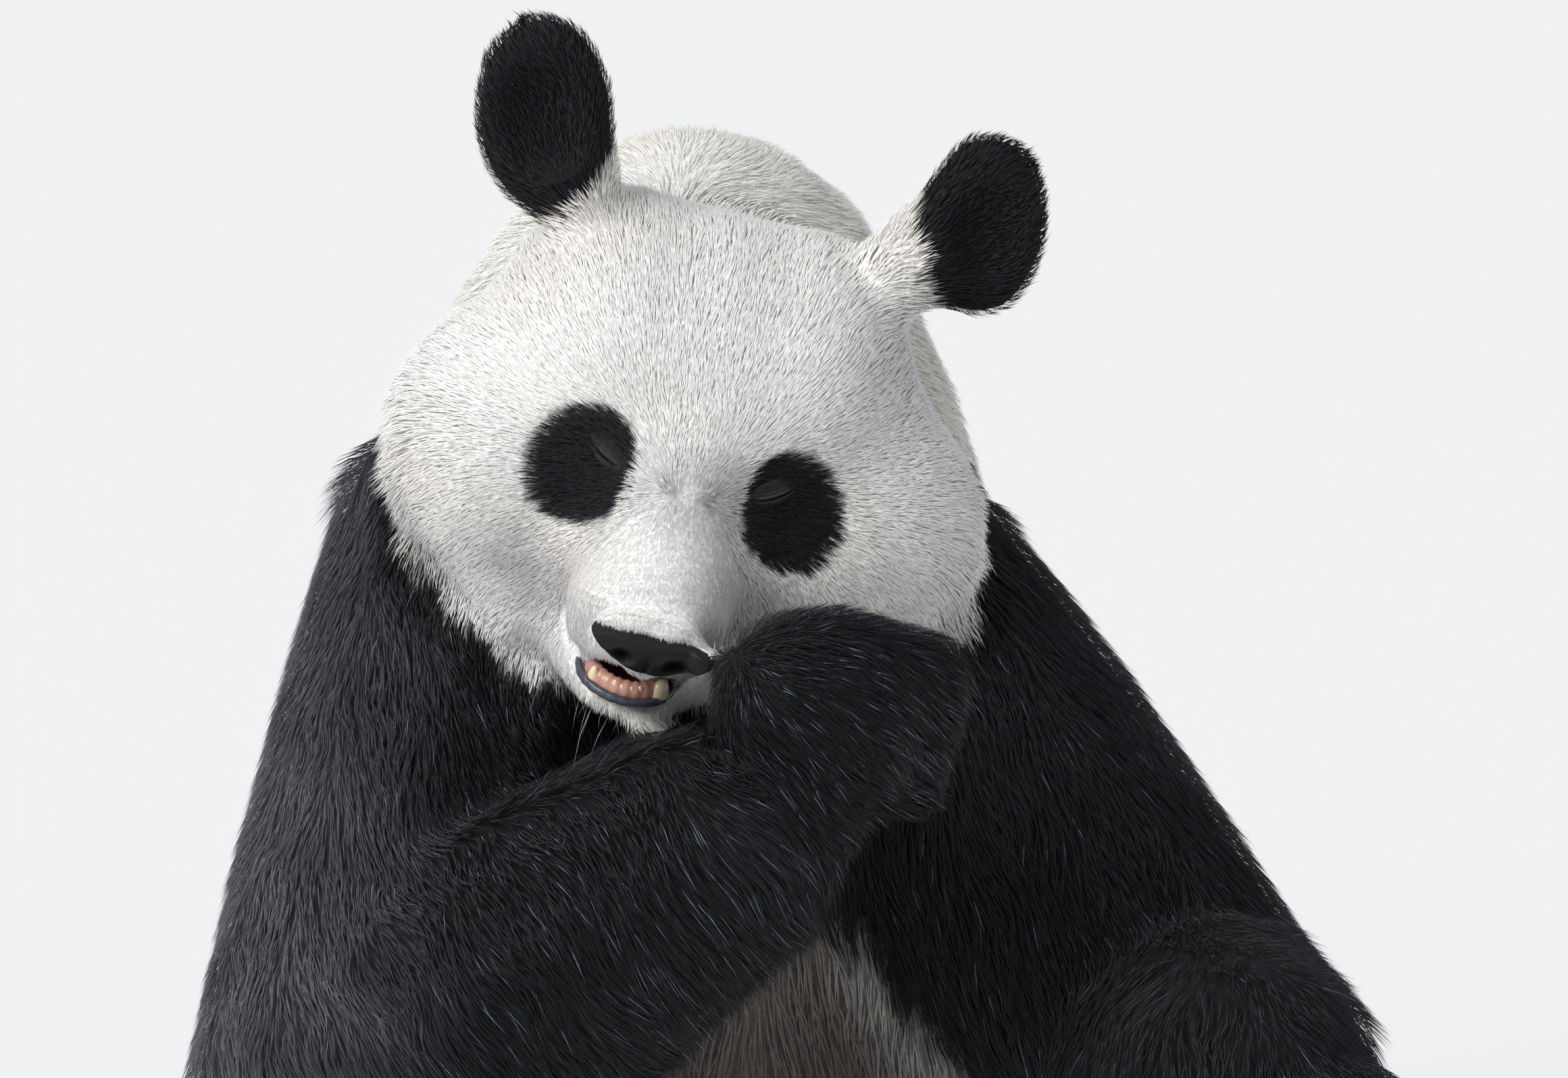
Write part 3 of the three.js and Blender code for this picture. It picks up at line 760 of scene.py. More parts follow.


# Shades in the coat. For white: cream with its mottling and how much less of it the head has; the
# shadow below and behind the cheeks, at the frown and in the hollow beside the muzzle, in the
# head's millimetres. For black: how worn it is, and the stretch in metres of the painted sheen on
# the raised right arm. For the belly: the darker front's stretches and how dark it is.
shadePlan = {
    "cream": 0.30, "creamMottle": (0.3, 0.11, 7), "creamHead": 0.25, "under": 0.9,
    "underDown": (25, 110), "underBack": (-10, 40), "frownFlat": 1.6, "frownFront": 20,
    "frownWide": (8, 40), "frownSoft": 0.6, "frownNear": (1, 9), "frownDark": 0.8,
    "hollow": (64, -70), "hollowSize": (24, 26),
    # Black fur: wear mottled over all of it, and a painted sheen, a lighter blue-grey, on the
    # raised right arm's outer side; paw, ears and head have neither.
    "worn": 0.01, "wornMottle": (0.06, 0.09, 8), "sheenAcross": (0.14, 0.26), "wornArm": 0.8,
    "sheenMottle": (0.3, 0.06, 10), "freshPaw": 0.5,
    "duskHalf": 0.2, "duskFront": (-0.10, 0.02), "duskSide": (0.75, 1.2), "dusk": 0.93,
    "duskMottle": (0.06, 0.07, 9),
}


# Mottling by a plan's strength, size and seed.
def mottled(points, key):
    strength, size, seed = shadePlan[key]
    return strength * mottle(points, size, seed)


# The colour of skin and coat at each point: black and white by the markings, grey in the black
# where it is worn and a painted sheen on the raised arm, cream and shadow in the white, and the
# front of the belly darker.
def coatColour(points, normals, head, headShare, shares):
    plan = shadePlan
    tone = {name: np.array(value) for name, value in colours.items()}
    black = blackness(points, normals, head, headShare, shares)[:, None]
    cream = plan["cream"] + mottled(points, "creamMottle") - plan["creamHead"] * headShare
    white = mix(tone["white"], tone["creamy"], np.clip(cream, 0, 1)[:, None])
    across, up = np.abs(head[:, 0]), head[:, 2]
    under = ramp(-up, *plan["underDown"]) * headShare * ramp(head[:, 1], *plan["underBack"])
    whorl, front = facePlan["whorl"], head[:, 1] < plan["frownFront"]
    frown = np.hypot(across - whorl["across"], plan["frownFlat"] * (up - whorl["up"]))
    under = under + plan["frownSoft"] * (1 - ramp(frown, *plan["frownWide"])) * headShare * front
    hollow, size = plan["hollow"], plan["hollowSize"]
    under += headShare * np.exp(-((across - hollow[0]) / size[0]) ** 2
                                - ((up - hollow[1]) / size[1]) ** 2)
    white = mix(white, tone["shadow"], plan["under"] * np.clip(under, 0, 1)[:, None])
    frown = plan["frownDark"] * (1 - ramp(frown, *plan["frownNear"])) * headShare * front
    white = mix(white, tone["whorl"], frown[:, None])
    # Painted sheen: the raised right arm is painted a lighter blue-grey on its outer side, towards
    # -x; the mottle over all black fur is wear. Right paw, ears and head have neither.
    arm = shareOf(shares, "upper_arm_right", "forearm_right")
    worn = plan["worn"] + mottled(points, "wornMottle") + (
        arm * ramp(-points[:, 0], *plan["sheenAcross"])
        * (plan["wornArm"] + mottled(points, "sheenMottle")))
    worn -= plan["freshPaw"] * shareOf(shares, "hand_right", "ear_left", "ear_right") + headShare
    dark = mix(tone["black"], tone["worn"], np.clip(worn, 0, 1)[:, None])
    # The front of the belly is darker and browner, fading to white towards the sides.
    belly = middle("belly")
    beside = np.abs(points[:, 0] - belly[0]) / plan["duskHalf"]
    front = ramp(belly[1] - points[:, 1], *plan["duskFront"])
    front = front * (1 - ramp(beside, *plan["duskSide"]))
    dusk = front * shareOf(shares, "belly", "rump", "chest")
    dusk = dusk * (plan["dusk"] + mottled(points, "duskMottle"))
    white = mix(white, tone["dusky"], np.clip(dusk, 0, 1)[:, None])
    return mix(white, dark, black), black[:, 0]


# The skin lies below the solids by the coat's depth, and never under the floor.
fleshHead = inHead(skinPoints)
skinCoat = coatAt(skinPoints, skinNormals, carried)
for _ in range(skinPlan["lieSteps"]):
    skinCoat["lie"] = unit(neighbourMean(alongSurface(skinCoat["lie"], skinNormals)))
skinPoints = skinPoints - skinNormals * (skinCoat["depth"] * mm)[:, None]
for _ in range(skinPlan["sinkSteps"]):
    skinPoints = mix(skinPoints, neighbourMean(skinPoints), skinPlan["sinkShare"])
skinPoints[:, 2] = np.maximum(skinPoints[:, 2], skinPlan["lowest"])
skinNormals = cornerNormals(skinPoints, skinTriangles)
skinHead, headShare = inHead(skinPoints), skinCoat["headShare"]
skinColour, skinBlack = coatColour(skinPoints, skinNormals, skinHead, headShare, skinShares)
mouthDistance = gapeDistance(skinHead)
onHead = headShare > 0.5
# Inside the open mouth the skin is painted dark red: the mouth's own red darkened by painted shade
# of its hollow.
insideMouth = (1 - ramp(mouthDistance, *facePlan["mouthEdge"])) * onHead
lipBand = (1 - ramp(mouthDistance, *facePlan["lipEdge"])) * onHead
lipBand = lipBand * (skinHead[:, 2] < facePlan["lipTop"])
shaded = skinColour * mix(0.95, 0.7, skinBlack)[:, None]
shaded = mix(shaded, np.array(colours["lip"]), lipBand[:, None])
shaded = mix(shaded, np.array(colours["mouth"]), insideMouth[:, None])
skin = makePiece("skin", skinPoints, skinQuads, skinFur)
paint(skin, shaded)
settle(skin, "white_fur", *[name for name in fleshNodes if kindOf(name) not in ("eye", "nose")])


# An unwrap of the skin, for each tuft's place on its own map: faces that lean less than an angle
# from each other lie flat in one island.
def unwrapSkin():
    bpy.context.view_layer.objects.active = skin
    skin.select_set(True)
    bpy.ops.object.mode_set(mode="EDIT")
    bpy.ops.mesh.select_all(action="SELECT")
    bpy.ops.uv.smart_project(angle_limit=skinPlan["islandAngle"],
                             island_margin=skinPlan["islandGap"])
    bpy.ops.object.mode_set(mode="OBJECT")
    places = np.empty(len(skin.data.loops) * 2, np.float32)
    skin.data.uv_layers.active.data.foreach_get("uv", places)
    quads = places.reshape(-1, 4, 2)
    return np.concatenate([quads[:, [0, 1, 2]], quads[:, [0, 2, 3]]])


skinPlaces = unwrapSkin()
print("skin made and unwrapped")

# The coat: how many triangles it may take in all, in a piece and in a tuft; how dense some parts
# are against the rest; how lies stray, for locks on body and head and for single tufts; the
# spread of lengths and widths; sines of the least and most lift; how far tufts bend to their
# lock's tip; and how large a patch each has on the map. Guard hairs: their number, more on the
# raised arm, their width, lift and tone, and the shares of black, head and ear that bound them.
# Then how painted shade runs from root to tip and how far normals follow the skin's.
tuftPlan = {
    "triangles": 1470000, "pieceLimit": 190000,
    "shortBelow": 10, "shortSides": 3, "longSides": 6, "denseHead": 2.1, "denseArms": 1.6,
    "sway": (0.28, 0.10), "swaySize": 0.06, "swaySeeds": (11, 12, 13), "lockStray": 0.10,
    "stray": 0.11, "lockLength": (0.8, 1.12), "length": (0.7, 1.12), "width": (0.65, 1.2),
    "lockLift": (0.1, 0.6), "lift": (0.1, 0.62), "liftSpread": (0.75, 1.15), "most": 0.3,
    "rise": (1.3, 0.6), "pull": 0.28, "pullSpread": (0.2, 1.3), "pullFrom": (6, 20),
    "kneePull": 0.35, "lowKnee": 0.003, "lowTip": 0.0015, "high": 0.35,
    "sunk": 0.0008, "patch": 0.003, "toneWhite": (0.93, 1.05), "toneBlack": (0.8, 1.15),
    "guards": 0.03, "guardsRaised": 1.5, "guardWidth": 0.42, "guardHigh": 0.003,
    "guardTone": (0.15, 1), "guardFrom": (0.1, 0.7), "guardBlack": 0.6, "guardHead": 0.4,
    "guardEar": 0.3,
    "shadeWhite": (0.9, 1.03), "shadeBlack": (0.65, 1.3), "skinward": (0.85, 0.5), "palest": 0.92,
}
bareEye = {"at": (48.7, 10), "size": (13.0, 5.4), "turn": 26, "behind": (30, 40)}


# Distance from the middle of the nearer closed lid, 1 on the edge of its bare skin.
def lidDistance(head):
    turn = math.radians(bareEye["turn"])
    across, up = np.abs(head[:, 0]) - bareEye["at"][0], head[:, 2] - bareEye["at"][1]
    along = across * math.cos(turn) + up * math.sin(turn)
    over = up * math.cos(turn) - across * math.sin(turn)
    wide, high = bareEye["size"]
    return np.hypot(along / wide, over / high) + ramp(head[:, 1], *bareEye["behind"]) * 9


# Triangles in one tuft, by whether it is short.
def sidesOf(isShort):
    return np.where(isShort, tuftPlan["shortSides"], tuftPlan["longSides"])


# Roots spread over the skin: triangles taken at even steps of their summed area times density,
# and a random place in each.
def scatterRoots(density):
    a, b, c = (skinPoints[skinTriangles[:, k]] for k in range(3))
    area = np.linalg.norm(np.cross(b - a, c - a), axis=1) / 2 / mm ** 2
    amount = area * density[skinTriangles].mean(1)
    cost = amount * sidesOf(skinCoat["length"][skinTriangles[:, 0]] < tuftPlan["shortBelow"])
    amount *= tuftPlan["triangles"] / cost.sum()
    total = np.cumsum(amount)
    count = int(total[-1])
    picks = (np.arange(count) + random.random(count)) / count * total[-1]
    triangle = np.minimum(np.searchsorted(total, picks), len(total) - 1)
    side = np.sqrt(random.random(count))
    turn = random.random(count)
    return triangle, np.stack([1 - side, side * (1 - turn), side * turn], 1)


# The values of a triangle's corners, weighted to a root's place in it.
def atRoots(values, triangle, share):
    corners = values[skinTriangles[triangle]]
    weights = share[:, :, None] if corners.ndim == 3 else share
    return (corners * weights).sum(1)


skinLength, skinWidth, skinDepth = skinCoat["length"], skinCoat["width"], skinCoat["depth"]
bare = (mouthDistance < facePlan["bareLip"]) & (skinHead[:, 2] < facePlan["bareLipTop"])
bare |= mouthDistance < facePlan["bareMouth"]
bare |= (noseInset(skinHead) > facePlan["bareNose"]) | (lidDistance(skinHead) < 1)
bare &= onHead
dense = mix(1, tuftPlan["denseHead"], headShare) * mix(
    1, tuftPlan["denseArms"], shareOf(skinShares, "forearm_right", "hand_right", "upper_arm_right",
                                      "upper_arm_left", "hand_left"))
density = np.where(bare, 0, dense / (skinLength * skinWidth))
rootTriangle, rootShare = scatterRoots(density)
count = len(rootTriangle)
print("tufts:", count)

# Each corner of the skin leads one lock: the tufts around it bend towards its tip.
lockLift = np.arcsin(np.clip(skinDepth / skinLength, *tuftPlan["lockLift"]))
sway = np.stack([mottle(skinPoints, tuftPlan["swaySize"], seed)
                 for seed in tuftPlan["swaySeeds"]], 1)
sway = sway * mix(*tuftPlan["sway"], headShare)[:, None]
lockStray = random.normal(0, tuftPlan["lockStray"], skinPoints.shape)
lockLie = alongSurface(skinCoat["lie"] + sway + lockStray, skinNormals)
lockLength = skinLength * random.uniform(*tuftPlan["lockLength"], len(skinPoints)) * mm
lockTip = skinPoints + lockLength[:, None] * (lockLie * np.cos(lockLift)[:, None]
                                              + skinNormals * np.sin(lockLift)[:, None])

rootPoint = atRoots(skinPoints, rootTriangle, rootShare)
rootNormal = unit(atRoots(skinNormals, rootTriangle, rootShare))
rootLie = alongSurface(atRoots(lockLie, rootTriangle, rootShare)
                       + random.normal(0, tuftPlan["stray"], rootPoint.shape), rootNormal)
rootLength = atRoots(skinLength, rootTriangle, rootShare) * mm
short = rootLength < tuftPlan["shortBelow"] * mm
rootLength *= random.uniform(*tuftPlan["length"], count)
rootWidth = atRoots(skinWidth, rootTriangle, rootShare) * mm
rootWidth *= random.uniform(*tuftPlan["width"], count)
rootDepth = atRoots(skinDepth, rootTriangle, rootShare) * mm
rootDepth = np.minimum(rootDepth, tuftPlan["most"] * rootLength)  # the most that a tuft rises
rootShares = atRoots(skinShares, rootTriangle, rootShare)
rootPlace = (skinPlaces[rootTriangle] * rootShare[:, :, None]).sum(1)
leader = skinTriangles[rootTriangle, rootShare.argmax(1)]
rootHead = inHead(rootPoint)
rootOnHead = shareOf(rootShares, *headNodes)
rootColour, rootBlack = coatColour(rootPoint, rootNormal, rootHead, rootOnHead, rootShares)
whiteTone = random.uniform(*tuftPlan["toneWhite"], count)
blackTone = random.uniform(*tuftPlan["toneBlack"], count)
rootColour = rootColour * mix(whiteTone, blackTone, rootBlack)[:, None]
raised = shareOf(rootShares, "forearm_right", "hand_right")
guard = random.random(count) < tuftPlan["guards"] * (1 + tuftPlan["guardsRaised"] * raised)
guard &= (rootBlack > tuftPlan["guardBlack"]) & (rootOnHead < tuftPlan["guardHead"])
guard &= shareOf(rootShares, "ear_left", "ear_right") < tuftPlan["guardEar"]
guardTone = guard * random.uniform(*tuftPlan["guardTone"], count) ** 1.5
rootWidth = np.where(guard, tuftPlan["guardWidth"] * mm, rootWidth)


# Each tuft's knee and tip: the lower half rises at more than the mean angle and the upper half at
# less, and both bend towards the tip of the lock. Pale guard hairs stand a little higher.
def bendTufts():
    plan = tuftPlan
    lift = np.arcsin(np.clip(rootDepth / rootLength, *plan["lift"]))
    lift = lift * random.uniform(*plan["liftSpread"], count)

    def rise(angle):
        return rootLie * np.cos(angle)[:, None] + rootNormal * np.sin(angle)[:, None]

    half = 0.5 * rootLength[:, None]
    knee = rootPoint + half * rise(lift * plan["rise"][0])
    tip = knee + half * rise(lift * plan["rise"][1])
    pull = plan["pull"] * random.uniform(*plan["pullSpread"], count)
    pull = pull * ramp(rootLength / mm, *plan["pullFrom"])
    tip = mix(tip, lockTip[leader], pull[:, None])
    tip = tip + rootNormal * (guard * plan["guardHigh"])[:, None]
    knee = mix(knee, (rootPoint + lockTip[leader]) / 2, plan["kneePull"] * pull[:, None])
    knee[:, 2] = np.maximum(knee[:, 2], plan["lowKnee"])
    tip[:, 2] = np.maximum(tip[:, 2], plan["lowTip"])
    return knee, tip


rootKnee, rootTip = bendTufts()


# A tuft's flat triangle: half a width to each side of the lie, and less of one up the normal.
def tuftRing(lie, normal, width):
    beside = np.cross(normal, lie) * 0.5
    return np.stack([-beside, beside, normal * tuftPlan["high"]], 1) * width[:, None, None]


# Spindles: a point at the root, a flat triangle at the knee and a point at the tip.
def buildTufts(root, knee, tip, lie, normal, width):
    ring = knee[:, None] + tuftRing(lie, normal, width)
    points = np.concatenate([root[:, None], ring, tip[:, None]], 1)
    sides = np.array([[0, 2, 1], [0, 3, 2], [0, 1, 3], [1, 2, 4], [2, 3, 4], [3, 1, 4]])
    faces = np.arange(len(root))[:, None, None] * 5 + sides[None]
    return points.reshape(-1, 3), faces.reshape(-1, 3), np.array([0, 0.5, 0.5, 0.5, 1])


# Straight tufts for the shortest fur: a flat triangle at the root and a point at the tip.
def buildShortTufts(root, tip, lie, normal, width):
    points = np.concatenate([root[:, None] + tuftRing(lie, normal, width), tip[:, None]], 1)
    sides = np.array([[0, 1, 3], [1, 2, 3], [2, 0, 3]])
    faces = np.arange(len(root))[:, None, None] * 4 + sides[None]
    return points.reshape(-1, 3), faces.reshape(-1, 3), np.array([0, 0, 0, 1.0])


# One piece of coat from some roots: colours run from a root darkened by painted shade to a lighter
# tip, tufts are shaded partly as the skin below them, and each tuft has its own small patch on the
# map OFBake, at its root's place in the skin's unwrap.
def makeCoat(name, pick, finish):
    forms, painted, places, skinward, darkness = [], [], [], [], []
    few, many = pick[short[pick]], pick[~short[pick]]
    for chosen in (few, many):
        if len(chosen) == 0:
            continue
        given = [rootTip[chosen], rootLie[chosen], rootNormal[chosen], rootWidth[chosen]]
        sunk = rootPoint[chosen] - rootNormal[chosen] * tuftPlan["sunk"]
        if chosen is few:
            points, faces, levels = buildShortTufts(sunk, *given)
        else:
            points, faces, levels = buildTufts(sunk, rootKnee[chosen], *given)
        along = np.tile(levels, len(chosen))[:, None]
        black = np.repeat(rootBlack[chosen], len(levels))[:, None]
        # Painted shade along each tuft: darkest at the root, where the coat shades itself, lighter
        # towards the tip.
        shade = mix(mix(*tuftPlan["shadeWhite"], along), mix(*tuftPlan["shadeBlack"], along), black)
        colour = np.repeat(rootColour[chosen], len(levels), 0) * shade
        pale = np.repeat(guardTone[chosen], len(levels))[:, None]
        pale = pale * ramp(along, *tuftPlan["guardFrom"])
        forms.append((points, faces))
        painted.append(mix(colour, np.array(colours["guard"]), pale))
        skinward.append(np.repeat(rootNormal[chosen], len(levels), 0))
        darkness.append(black)
        beside = np.array([0, 1, 0.5, 0.5] if chosen is few else [0.5, 0, 1, 0.5, 0.5])
        patch = np.stack([np.tile(beside, len(chosen)), along[:, 0]], 1) * tuftPlan["patch"]
        places.append(np.repeat(rootPlace[chosen], len(levels), 0) + patch)
    points, faces = together(forms)
    piece = makePiece(name, points, faces, finish)
    own, below = cornerNormals(points, faces), np.concatenate(skinward)
    black = np.concatenate(darkness)
    piece.data.normals_split_custom_set_from_vertices(
        unit(mix(own, below, mix(*tuftPlan["skinward"], black))).astype(np.float32))
    paint(piece, np.clip(np.concatenate(painted), 0, tuftPlan["palest"]))
    layer = piece.data.uv_layers.new(name="OFBake")
    spots = np.concatenate(places)[faces.reshape(-1)]
    layer.data.foreach_set("uv", spots.astype(np.float32).reshape(-1))
    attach(piece, "root")
    return piece


coatParts = {
    "headCoat": (headNodes, whiteFur, "white_fur"),
    "earCoat": (["ear_left", "ear_right"], blackFur, "black_fur"),
    "neckCoat": (["neck"], whiteFur, "white_fur"),
    "chestCoat": (["chest"], blackFur, "black_fur"),
    "bellyCoat": (["belly"], bellyFur, "belly_fur"),
    "rumpCoat": (["rump", "tail"], whiteFur, "white_fur"),
    "leftArmCoat": (["upper_arm_left", "forearm_left", "hand_left"], blackFur, "black_fur"),
    "rightArmCoat": (["upper_arm_right", "forearm_right", "hand_right"], blackFur, "black_fur"),
    "leftLegCoat": (["thigh_left", "shank_left", "hind_foot_left"], blackFur, "black_fur"),
    "rightLegCoat": (["thigh_right", "shank_right", "hind_foot_right"], blackFur, "black_fur"),
}
rootOwner = rootShares.argmax(1)
coatTriangles = 0
for name, (members, finish, slot) in coatParts.items():
    pick = np.flatnonzero(np.isin(rootOwner, [fleshNodes.index(m) for m in members]))
    weight = np.cumsum(sidesOf(short[pick]))
    pieces = max(1, math.ceil(weight[-1] / tuftPlan["pieceLimit"]))
    for i in range(pieces):
        start, end = weight[-1] * i / pieces, weight[-1] * (i + 1) / pieces
        chosen = pick[(weight > start) & (weight <= end)]
        coat = makeCoat(name if pieces == 1 else f"{name}{i + 1}", chosen, finish)
        coatTriangles += len(coat.data.polygons)
        print(coat.name, len(coat.data.polygons), "triangles")
print("coat made:", coatTriangles, "triangles")

# How far forward the flesh is at places on the nose: the corners' mean, weighted by a bell curve
# and by an exponential that favours those further forward.
def noseFront(x, z):
    beside = (np.abs(fleshHead - nosePlan["at"]) < nosePlan["flesh"]).all(1)
    near = fleshHead[beside] - nosePlan["at"]
    apart = (x[..., None] - near[:, 0]) ** 2 + (z[..., None] - near[:, 2]) ** 2
    weight = np.exp(-apart / nosePlan["bell"])
    weight = weight * np.exp(-nosePlan["favour"] * (near[:, 1] - near[:, 1].min()))
    return (weight * near[:, 1]).sum(-1) / weight.sum(-1)


# Rings from crown to foot, x = w(z) cos with w the outline's half width: the front half of each
# ring lies just proud of the flesh, its rim is sunk into it and its back half is inside.
# Nostrils, their outer slits and the groove are bell curves pressed in, and one round each
# nostril swells the wing.
def makeNose():
    plan = nosePlan
    crown, foot = plan["crown"], plan["foot"]
    tall = np.linspace(0, math.pi, plan["rings"] + 2)[1:-1, None]
    turn = np.linspace(0, 2 * math.pi, plan["columns"], endpoint=False)[None]
    z = (crown + foot) / 2 + (crown - foot) / 2 * np.cos(tall) + 0 * turn
    x = noseWidth(z) * np.sign(np.cos(turn)) * np.abs(np.cos(turn)) ** plan["square"]
    edge = np.minimum(noseWidth(z) - np.abs(x), np.minimum(crown - z, z - foot)) / plan["rim"]
    rise = np.sin(np.clip(edge, 0, 1) * math.pi / 2)
    ahead = turn > math.pi
    level = np.where(ahead, -plan["proud"], plan["thick"])
    y = noseFront(x, z) + mix(plan["sunk"], level, rise)
    apart, high = plan["nostril"]
    across = np.abs(x) - apart
    wide, tallness = plan["nostrilSize"]
    hole = np.exp(-(across / wide) ** 2
                  - ((z - high - plan["nostrilLean"] * across) / tallness) ** 2)
    out, up = plan["slit"]
    wide, tallness = plan["slitSize"]
    slit = np.exp(-((across - out) / wide) ** 2 - ((z - high - up) / tallness) ** 2)
    ring = np.hypot(across / plan["wingFlat"], z - high)
    wing = np.exp(-((ring - plan["wing"]) / plan["wingSize"]) ** 2)
    groove = np.exp(-(x / plan["grooveHalf"]) ** 2) * ramp(-z, *plan["grooveFrom"])
    y = y + ahead * rise * (plan["nostrilDeep"] * hole + plan["slitDeep"] * slit
                            - plan["wingHigh"] * wing + plan["groove"] * groove)
    ends = np.array([[0, 0, crown], [0, 0, foot]], float)
    ends[:, 1] = noseFront(ends[:, 0], ends[:, 2]) + plan["sunk"]
    points = np.concatenate([np.stack([x, y, z], -1).reshape(-1, 3), ends])
    faces = outward(points, closedFaces(len(tall), turn.shape[1]))
    leather = makePiece("nose", fromHead(points + plan["at"]), faces, noseSkin)
    settle(leather, "nose_skin", "nose")


makeNose()
print("nose made")

# The closed lids in millimetres: half width and height, swell, the slit's half length, sag, depth
# and half width; place, half width and height of the margin; height and pace of the folds; the
# way it faces and how proud it stands; how far it is bare; its greys, the last in the slit; and
# its mesh.
lidPlan = {
    "half": (16.5, 9), "swell": 2.6, "slit": 12, "slitEnds": (-0.5, 3), "sag": 1.6, "deep": 1.3,
    "slitHalf": 0.62, "margin": (1.7, 0.9, 0.5), "folds": (0.12, 2.6), "face": (0.36, -1, 0.06),
    "proud": 0.9, "bare": (13, 5.5), "grey": (0.008, 0.036, 0.002), "rings": 34, "columns": 96,
}


# Rings from the middle of the lid to its rim: an oval dome with a groove along the slit, a raised
# margin beside it and shallow folds, over a point behind it. It stands on the skin where the eye
# is.
def makeLid(side, s):
    plan = lidPlan
    ring = np.linspace(0.03, 1, plan["rings"])[:, None]
    turn = np.linspace(0, 2 * math.pi, plan["columns"], endpoint=False)[None]
    x = plan["half"][0] * ring * np.cos(turn)
    z = plan["half"][1] * ring * np.sin(turn)
    line = -plan["sag"] * (1 - (x / plan["slit"]) ** 2)
    inside = ramp(plan["slit"] - np.abs(x), *plan["slitEnds"])
    off = z - line
    marginAt, marginHalf, marginHigh = plan["margin"]
    foldHigh, foldPace = plan["folds"]
    folds = np.cos(off * foldPace)
    y = (-plan["swell"] * (1 - ring ** 2) ** 0.8
         - marginHigh * inside * np.exp(-((np.abs(off) - marginAt) / marginHalf) ** 2))
    y += (inside * plan["deep"] * np.exp(-(off / plan["slitHalf"]) ** 2)
          + foldHigh * folds * (1 - ring ** 2))
    ends = [[0, y[0].mean(), 0], [0, 4, 0]]
    points = np.concatenate([np.stack([x, y, z], -1).reshape(-1, 3), ends])
    turned = math.radians(bareEye["turn"])
    forward = unit(np.array(plan["face"]) * [s, 1, 1])
    along = np.array([s * math.cos(turned), 0, math.sin(turned)])
    along = unit(along - forward * (along @ forward))
    over = np.cross(along, -forward) * s
    across, up = s * bareEye["at"][0], bareEye["at"][1]
    place = np.array([across, faceAt(across, up) + plan["proud"], up])
    placed = points @ np.stack([along, -forward, over], 1).T + place
    faces = outward(placed - place, closedFaces(len(ring), turn.shape[1]))
    bareHalf, bareHigh = plan["bare"]
    furred, naked, slit = plan["grey"]
    bareness = np.exp(-(np.hypot(x / bareHalf, (z - line) / bareHigh)) ** 4)
    grey = mix(furred, naked, bareness * (0.8 + 0.2 * folds))
    grey = mix(grey, slit, inside * np.exp(-(off / 0.8) ** 2))
    lid = makePiece(f"{side}Lid", fromHead(placed), faces, lidSkin)
    paint(lid, np.concatenate([grey.reshape(-1), [0.03, 0.01]])[:, None] * [1, 0.98, 1.02])
    settle(lid, "bare_skin", f"eye_{side}")


for side, s in (("left", 1), ("right", -1)):
    makeLid(side, s)
print("lids made")

# The mouth, in the head's millimetres: the arch's middle, the angle from which it opens and how
# fast, and how it rises; radius, height, half thickness, half height and reach of gum and lip, and
# their waves; radius, half width, thickness and height of teeth, with their angles and root.
mouthPlan = {
    "middle": (-8.5, -66), "openFrom": 1.2, "open": 8, "rise": 3.5, "riseAt": 1.6,
    "gum": (20.5, -89.5, 5.0, 6.5, 1.5), "lip": (26.8, -92.4, 2.3, 2.6, 1.75), "wave": (0.06, 26),
    "incisor": (22.5, 2.5, 1.9, 12.5), "incisorStep": 0.215, "incisorUneven": 0.8,
    "canine": (22.0, (4.4, 7.4), (15.0, 17.0)), "canineAngle": 0.92, "root": -96,
}


# Points on the arch: the middle plus a circle of this radius, opened to the back.
def archPoint(angle, radius, height):
    x, y = mouthPlan["middle"]
    back = np.maximum(np.abs(angle) - mouthPlan["openFrom"], 0) * mouthPlan["open"]
    return np.stack([x + radius * np.sin(angle), y - radius * np.cos(angle) + back,
                     height + 0 * angle], -1)


# A bar along the arch with an oval section, as gum and lip are.
def archBar(name, radius, height, half, tall, reach, finish, slot):
    angle = np.linspace(-reach, reach, 60)
    rise = mouthPlan["rise"] * (np.abs(angle) / mouthPlan["riseAt"]) ** 2
    path = archPoint(angle, radius, height + rise)
    end = np.sqrt(np.clip(1 - (angle / reach) ** 6, 0, 1))[:, None]
    waveHigh, wavePace = mouthPlan["wave"]
    wave = (1 + waveHigh * np.cos(angle * wavePace))[:, None]
    across = np.stack([np.sin(angle), -np.cos(angle), 0 * angle], -1) * half * end * wave
    upward = np.tile([0, 0, tall], (len(angle), 1)) * end * wave
    points, faces = sweep(path, across, upward, 20)
    settle(makePiece(name, fromHead(points), faces, finish), slot)


# A tooth: an oval carried from the gum to the tip, its width falling as a root of what is left.
def tooth(base, tip, half, thin, blunt):
    t = np.linspace(0, 1, 12)[:, None]
    size = np.clip(1 - t ** blunt, 0, 1) ** 0.6
    path = mix(base, tip, t)
    x, y, _ = base - [*mouthPlan["middle"], base[2]]
    side = unit(np.array([-y, x, 0]))
    out = np.cross(side, [0, 0, 1])
    return sweep(path, side * half * size, out * thin * size, 12)


